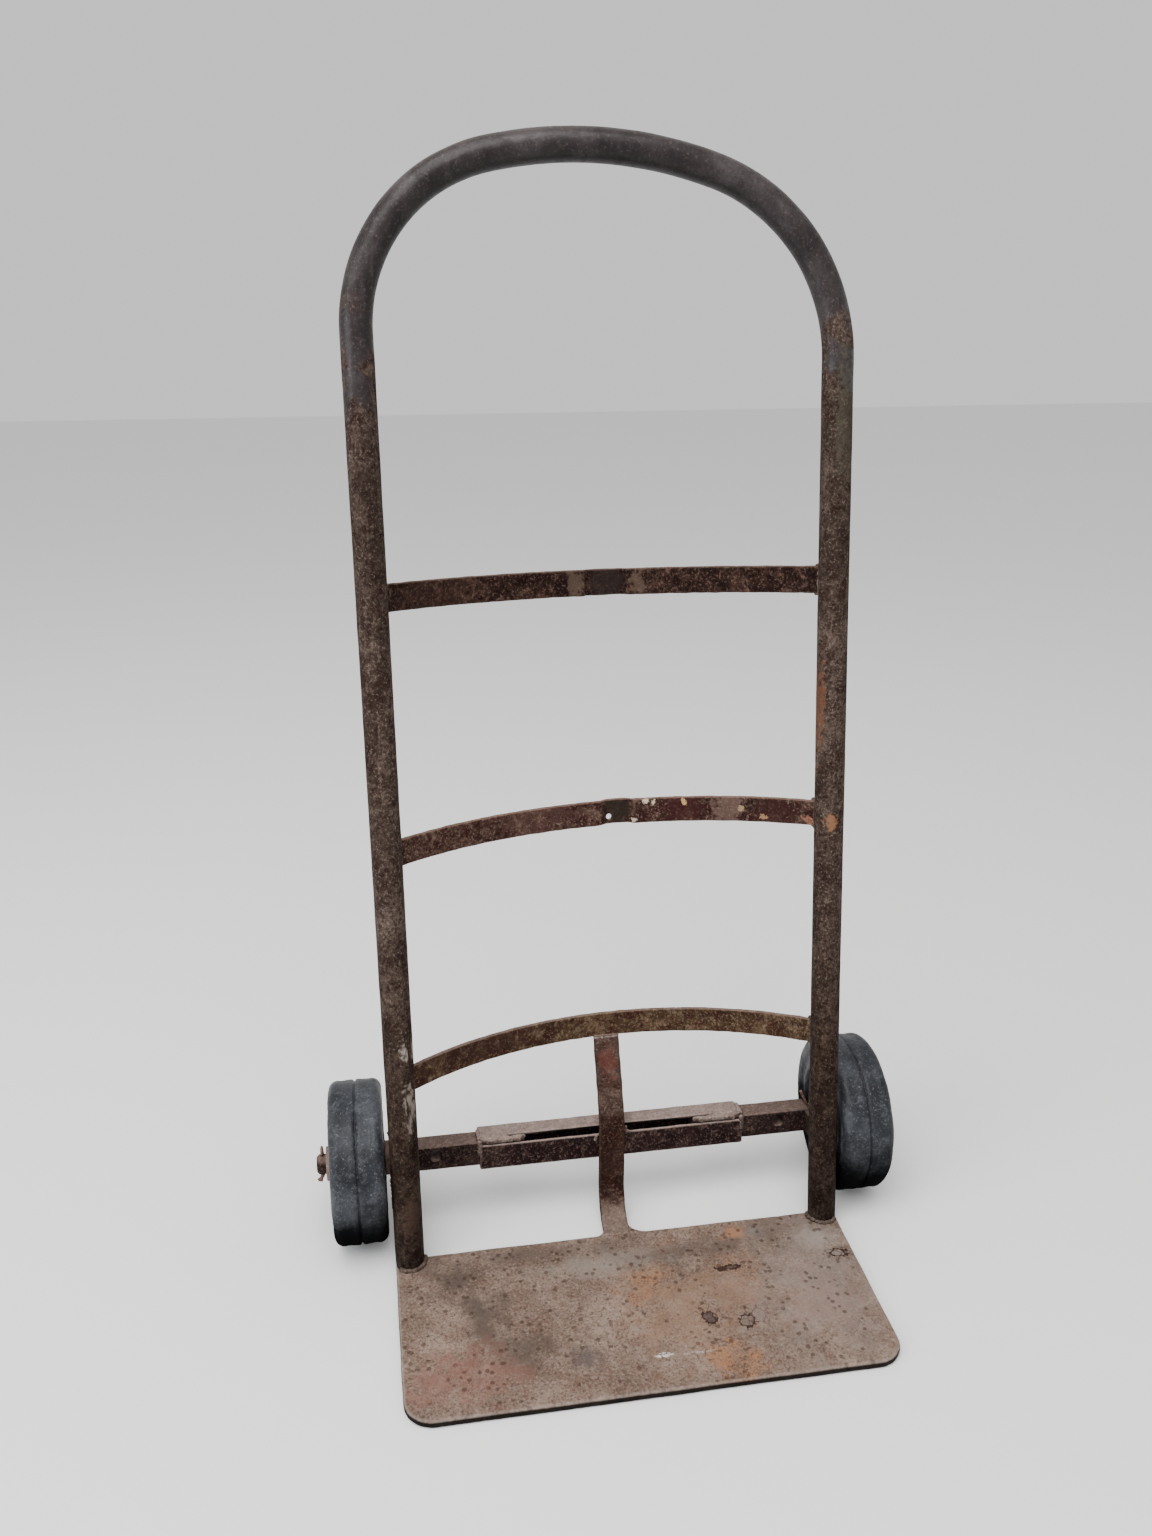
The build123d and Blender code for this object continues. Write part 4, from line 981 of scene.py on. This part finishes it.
def makeStub(side, word):
    bm = bmesh.new()
    s = axle["square"]
    inner, outer = sorted((side * axle["stubIn"], side * axle["squareOut"]))
    block(bm, (inner, -s, -s), (outer, s, s), 1.3)
    cutter = bmesh.new()
    x = side * axle["crossAt"]
    rod(cutter, (x, -30, axle["crossRise"]), (x, 30, axle["crossRise"]), axle["crossRadius"])
    bm = carve(bm, cutter)
    rod(bm, (side * (axle["squareOut"] - 4), 0, 0), (side * (axle["out"] - 2), 0, 0), axle["spindle"] - 0.1, 40)
    rod(bm, (side * (axle["out"] - 2.2), 0, 0), (side * axle["out"], 0, 0), axle["spindle"] - 0.1, 40,
        axle["spindle"] - 2.2)
    bm = evenSkin(bm, 1.0, 2)
    roughen(bm, 0.25, 11.0, 0.3, 3.2, seed=15 + side)
    bmesh.ops.transform(bm, matrix=onRails @ Matrix.Translation(axleAt * mm), verts=bm.verts)
    return linkPiece(word + "Stub", bm, "stub", "frame", [word + "_axle_stub"])


def makeBracket(side, word):
    bm = bmesh.new()
    x = side * truck["railHalf"]
    outline = [(4, 50), (31, 66), (46.5, 66), (46.5, 88), (31, 88), (4, 106)]
    verts = [bm.verts.new(Vector((x - 3, y, z)) * mm) for y, z in outline]
    bm.faces.new(verts)
    made = bmesh.ops.extrude_face_region(bm, geom=list(bm.faces), use_keep_orig=True)["geom"]
    bmesh.ops.translate(bm, verts=[part for part in made if isinstance(part, bmesh.types.BMVert)], vec=(6 * mm, 0, 0))
    bmesh.ops.recalc_face_normals(bm, faces=bm.faces)
    bm = evenSkin(bm, 1.2, 2)
    roughen(bm, 0.3, 9.0, 0.3, 3.5, seed=21 + side)
    bmesh.ops.transform(bm, matrix=onRails, verts=bm.verts)
    return linkPiece(word + "Bracket", bm, "pipe", "frame", [word + "_axle_bracket"])


for side, word in ((-1, "left"), (1, "right")):
    makeStub(side, word)
    makeBracket(side, word)
print("axle built")


# weld beads

beads = {"voxel": 0.8, "lump": 0.25, "size": 3.0}


def weldPiece(name, lines, radius, nodes, seed, place=onRails, keepAbove=None, look="weld"):
    bm = bmesh.new()
    for number, points in enumerate(lines):
        beadAlong(bm, points, radius, seed * 100 + number)
    bm = evenSkin(bm, beads["voxel"], 1)
    roughen(bm, beads["lump"], beads["size"], seed=seed)
    bmesh.ops.transform(bm, matrix=place, verts=bm.verts)
    if keepAbove is not None:
        bmesh.ops.bisect_plane(bm, geom=bm.verts[:] + bm.edges[:] + bm.faces[:],
                               plane_co=(0, 0, keepAbove * mm), plane_no=upZ, clear_inner=True)
        bmesh.ops.holes_fill(bm, edges=[edge for edge in bm.edges if edge.is_boundary])
    return linkPiece(name, bm, look, "frame", nodes)


def barWelds(name, seed):
    bar = bars[name]
    lines = []
    for side in (-1, 1):
        across = side * (truck["railHalf"] - pipe["radius"] * 0.80)
        back = bowBack(across)
        up = barUp(bar, across)
        half = bars["width"] / 2
        front = (across, back - 3.2, 0)
        rear = (across, back + 3.2, 0)
        lines.append([(front[0], front[1], up - half), (front[0], front[1], up + half)])
        lines.append([(rear[0], rear[1], up - half), (rear[0], rear[1], up + half)])
        lines.append([(front[0], front[1], up + half), (rear[0], rear[1], up + half)])
        lines.append([(front[0], front[1], up - half), (rear[0], rear[1], up - half)])
    weldPiece(name + "BarWelds", lines, 2.0, [name + "_bar_welds"], seed, look="footWeld")


for number, barName in enumerate(("upper", "middle", "lower")):
    barWelds(barName, 31 + number)

footLines = []
for side in (-1, 1):
    arc = []
    for degree in range(-8, 189, 14):
        a = math.radians(degree)
        arc.append((side * truck["railHalf"] + math.cos(a) * 14.2, 1.0 - math.sin(a) * 14.6, 9.0))
    arc = [point for point in arc if abs(point[0]) < 211.5]
    footLines.append(arc)
weldPiece("railFootWelds", footLines, 2.5, ["rail_foot_welds"], 35, onFloor, 7.6, "footWeld")

boxLines = []
gapBack = truck["axleBack"] - axle["square"] + 1.6
topUp = truck["axleUp"] + axle["heel"] + 10.6
for side, end in ((-1, axle["left"]), (1, axle["right"])):
    boxLines.append([(side * (axle["stubIn"] + 1), gapBack, topUp), (side * (end - 3), gapBack, topUp)])
    boxLines.append([(side * (axle["stubIn"] + 6), gapBack - 3, topUp), (side * (end - 8), gapBack - 3.6, topUp)])
    boxLines.append([(side * (end - 26), gapBack + 3.2, topUp + 1.6), (side * (end - 2), gapBack + 3.0, topUp + 1.6)])
    boxLines.append([(side * (end - 0.4), gapBack - 4.2, topUp), (side * (end - 0.2), gapBack - 3.4, topUp - 13)])
    boxLines.append([(side * end, gapBack + 1, topUp + 1.2), (side * end, gapBack + 19, topUp + 1.4)])
    boxLines.append([(side * axle["stubIn"], truck["axleBack"] * 2 - gapBack, topUp - 23.6),
                     (side * (end - 3), truck["axleBack"] * 2 - gapBack, topUp - 23.6)])
weldPiece("axleBoxWelds", boxLines, 2.5, ["axle_box_welds"], 36)

strapLines = [
    [(-9, 74.0, 172.4), (15, 74.0, 172.8)],
]
weldPiece("strapTopWeld", strapLines, 1.7, ["strap_welds"], 37)

# short lumps that tie the strap to the axle box
strapSide = strap["width"] / 2 + 1.0
sideLines = [
    [(-2 - strapSide, 41.6, 82.0), (-1 - strapSide, 41.8, 86.5)],
    [(1 + strapSide, 41.8, 86.0), (1.4 + strapSide, 42.6, 92.0)],
    [(1 + strapSide, 41.4, 88.0), (6 + strapSide, 41.6, 86.6)],
]
weldPiece("strapSideWelds", sideLines, 1.7, [], 39)

bracketLines = []
for side in (-1, 1):
    bracketLines.append([(side * 212.0, 7.0, 52), (side * 212.4, 6.0, 104)])
weldPiece("railSideWelds", bracketLines, 1.9, [], 38)
print("welds run")


# washers and split pins

def ring(bm, x0, x1, inner, outer, steps=48, round=0.6):
    # a flat washer about the axle line, from x0 to x1
    rim = [bm.verts.new(Vector((x, 0, z)) * mm) for x, z in ((x0, inner), (x1, inner), (x1, outer), (x0, outer))]
    edges = [bm.edges.new((rim[i], rim[(i + 1) % 4])) for i in range(4)]
    bmesh.ops.spin(bm, geom=rim + edges, cent=(0, 0, 0), axis=(1, 0, 0), dvec=(0, 0, 0), angle=math.tau,
                   steps=steps, use_merge=True, use_duplicate=False)
    bmesh.ops.remove_doubles(bm, verts=bm.verts, dist=1e-6)
    bmesh.ops.recalc_face_normals(bm, faces=bm.faces)
    sharp = [edge for edge in bm.edges if len(edge.link_faces) == 2 and edge.calc_face_angle() > 1.0]
    bmesh.ops.bevel(bm, geom=sharp, offset=round * mm, segments=2, affect="EDGES", profile=0.5, material=-1)


hardware = {"innerFrom": 213.0, "outerFrom": 268.3, "thick": 4.7, "outer": 16.0, "innerPin": 205.6, "outerPin": 276.8,
            "wire": 1.45}


def makeWasher(side, word, place, start):
    bm = bmesh.new()
    low, high = sorted((side * start, side * (start + hardware["thick"])))
    ring(bm, low, high, axle["spindle"], hardware["outer"])
    roughen(bm, 0.25, 7.0, seed=41 + side)
    bmesh.ops.transform(bm, matrix=onRails @ Matrix.Translation(axleAt * mm), verts=bm.verts)
    return linkPiece(word + place + "Washer", bm, "pin", "frame", [word + "_" + place.lower() + "_washer"])


def wire(bm, points, radius):
    # a bent wire through points (mm), with round ends
    curve = bpy.data.curves.new("wire", "CURVE")
    curve.dimensions = "3D"
    curve.bevel_depth = radius * mm
    curve.bevel_resolution = 4
    curve.use_fill_caps = True
    spline = curve.splines.new("NURBS")
    spline.points.add(len(points) - 1)
    for point, at in zip(spline.points, points):
        point.co = (*(Vector(at) * mm), 1)
    spline.order_u = 3
    spline.use_endpoint_u = True
    holder = bpy.data.objects.new("wire", curve)
    bpy.context.scene.collection.objects.link(holder)
    graph = bpy.context.evaluated_depsgraph_get()
    mesh = bpy.data.meshes.new_from_object(holder.evaluated_get(graph))
    bm.from_mesh(mesh)
    bpy.data.objects.remove(holder)
    bpy.data.meshes.remove(mesh)


def makePin(side, word, place, across, up, legs):
    # two half-round legs side by side through the spindle, an eye at one end
    bm = bmesh.new()
    r = hardware["wire"]
    eye = -up * (axle["spindle"] + 4.4)
    for lean, (outX, outZ) in zip((-1, 1), legs):
        wire(bm, [
            (0, 0, eye - up * 3.0), (0, lean * 3.4, eye - up * 2.6), (0, lean * 3.6, eye + up * 1.4),
            (lean * 0.7, lean * 0.6, eye + up * 3.4), (lean * 0.8, 0, 0), (lean * 0.8, 0, up * (axle["spindle"] + 0.5)),
            (lean * 1.2 + side * outX * 0.35, 0, up * (axle["spindle"] + 2.5 + outZ * 0.2)),
            (lean * 0.8 + side * outX, 0, up * (axle["spindle"] + outZ)),
        ], r)
    bm = evenSkin(bm, 0.55, 1)
    roughen(bm, 0.2, 3.0, seed=51 + side)
    move = Matrix.Translation((axleAt + Vector((side * across, 0, 0))) * mm)
    bmesh.ops.transform(bm, matrix=onRails @ move, verts=bm.verts)
    return linkPiece(word + place + "Pin", bm, "pin", "frame", [word + "_" + place.lower() + "_pin"])


for side, word in ((-1, "left"), (1, "right")):
    makeWasher(side, word, "Inner", hardware["innerFrom"])
    makeWasher(side, word, "Outer", hardware["outerFrom"])
    makePin(side, word, "Inner", hardware["innerPin"], 1, [(-7.5 * side, 17.0), (7.5 * side, 16.0)])
    makePin(side, word, "Outer", hardware["outerPin"], -1, [(1.5, 8.5), (6.0, 7.0)])
print("washers and pins fitted")


# wheels

wheel = {
    "at": 243.0, "radius": 76.0, "half": 25.0, "rim": 46.0, "shoulder": 9.0, "groove": 1.1, "grooveDeep": 1.8,
    "steps": 180, "bandThick": 4.0, "bandHalf": 21.0, "barrel": 19.0, "sleeve": 12.5, "bore": 9.54,
    "flange": 16.0, "web": 3.0,
}
wheelCentre = onRails @ (axleAt * mm)


def spinProfile(bm, profile, steps, closed=True):
    verts = [bm.verts.new(Vector((x, 0, z)) * mm) for x, z in profile]
    pairs = list(zip(verts, verts[1:])) + ([(verts[-1], verts[0])] if closed else [])
    edges = [bm.edges.new(pair) for pair in pairs]
    bmesh.ops.spin(bm, geom=verts + edges, cent=(0, 0, 0), axis=(1, 0, 0), dvec=(0, 0, 0), angle=math.tau,
                   steps=steps, use_merge=True, use_duplicate=False)
    bmesh.ops.remove_doubles(bm, verts=bm.verts, dist=1e-6)
    bmesh.ops.recalc_face_normals(bm, faces=bm.faces)


def tyreProfile():
    R, h, s = wheel["radius"], wheel["half"], wheel["shoulder"]
    g, d = wheel["groove"], wheel["grooveDeep"]
    half = [(0, R - d), (g * 0.55, R - d), (g, R - d * 0.4), (g + 0.7, R - 0.15), (g + 3, R)]
    half += [(x, R + 0.25 * math.sin(x * 0.4) - 0.25) for x in (8, 11, 14)]
    for degree in range(90, -1, -10):
        a = math.radians(degree)
        half.append((h - s + math.cos(a) * s, R - s + math.sin(a) * s))
    half += [(h, 63), (h - 0.5, 60), (h - 1.6, 58.5), (h - 1.8, 55), (h - 1.6, 52), (h - 0.8, 50.6), (h - 0.9, 48.6),
             (h - 2.0, 47.2), (h - 4, 46.6), (h - 8, 46.0), (8, 46.0)]
    return half + [(-x, z) for x, z in reversed(half[1:])]


def makeTyre(side, word):
    bm = bmesh.new()
    profile = tyreProfile()
    spinProfile(bm, profile, wheel["steps"])
    bmesh.ops.subdivide_edges(bm, edges=[edge for edge in bm.edges if edge.calc_length() > 3.2 * mm], cuts=1,
                              use_grid_fill=True)
    roughen(bm, 0.45, 14.0, 0.5, 4.0, seed=61 + side, fine=0.15)
    bmesh.ops.transform(bm, matrix=Matrix.Translation(Vector((side * wheel["at"] * mm, wheelCentre.y, wheelCentre.z))),
                        verts=bm.verts)
    return linkPiece(word + "Tyre", bm, "rubber", word + "_wheel", [word + "_tyre"])


def makeHub(side, word):
    bm = bmesh.new()
    rimIn = wheel["rim"] - wheel["bandThick"]
    b, w, h = wheel["bandHalf"], wheel["web"], wheel["half"]
    profile = [(b, 46.2), (b + 0.6, 45.2), (b + 0.6, 43.4), (b, 42.4), (b - 3, rimIn), (w + 4, rimIn - 0.6),
               (w + 0.8, rimIn - 3), (w, rimIn - 6), (w, 31), (w + 0.4, 26), (w + 2.4, 21.4), (w + 6, 19.6),
               (h - 3.4, wheel["barrel"] - 0.4), (h - 2.2, 18.2), (h - 2.0, 17.2), (h - 2.0, 12.6)]
    full = profile + [(-x, z) for x, z in reversed(profile)]
    spinProfile(bm, full, 96)
    for number in range(6):
        turn = Matrix.Rotation(number * math.tau / 6, 4, "X")
        for x in (-1, 1):
            rib = bmesh.new()
            low, high = sorted((x * 2.0, x * 9.0))
            block(rib, (low, -1.6, 19), (high, 1.6, rimIn + 0.5), 0.6)
            bmesh.ops.transform(rib, matrix=turn, verts=rib.verts)
            ribMesh = bpy.data.meshes.new("rib")
            rib.to_mesh(ribMesh)
            rib.free()
            bm.from_mesh(ribMesh)
            bpy.data.meshes.remove(ribMesh)
    bmesh.ops.transform(bm, matrix=Matrix.Translation(Vector((side * wheel["at"] * mm, wheelCentre.y, wheelCentre.z))),
                        verts=bm.verts)
    return linkPiece(word + "Hub", bm, "hub", word + "_wheel", [word + "_hub"], smooth=False)


def makeBushing(side, word):
    bm = bmesh.new()
    h, r = wheel["half"], wheel["sleeve"]
    half = [(h, 9.9), (h, 15.4), (h - 0.6, 16.0), (h - 1.6, 16.0), (h - 2.0, 15.6), (h - 2.0, r)]
    full = half + [(-x, z) for x, z in reversed(half)] + [(-h + 0.5, wheel["bore"]), (h - 0.5, wheel["bore"])]
    spinProfile(bm, full, 64)
    bmesh.ops.transform(bm, matrix=Matrix.Translation(Vector((side * wheel["at"] * mm, wheelCentre.y, wheelCentre.z))),
                        verts=bm.verts)
    return linkPiece(word + "Bushing", bm, "bushing", word + "_wheel", [word + "_bushing"])


for side, word in ((-1, "left"), (1, "right")):
    makeTyre(side, word)
    makeHub(side, word)
    makeBushing(side, word)
print("wheels turned")
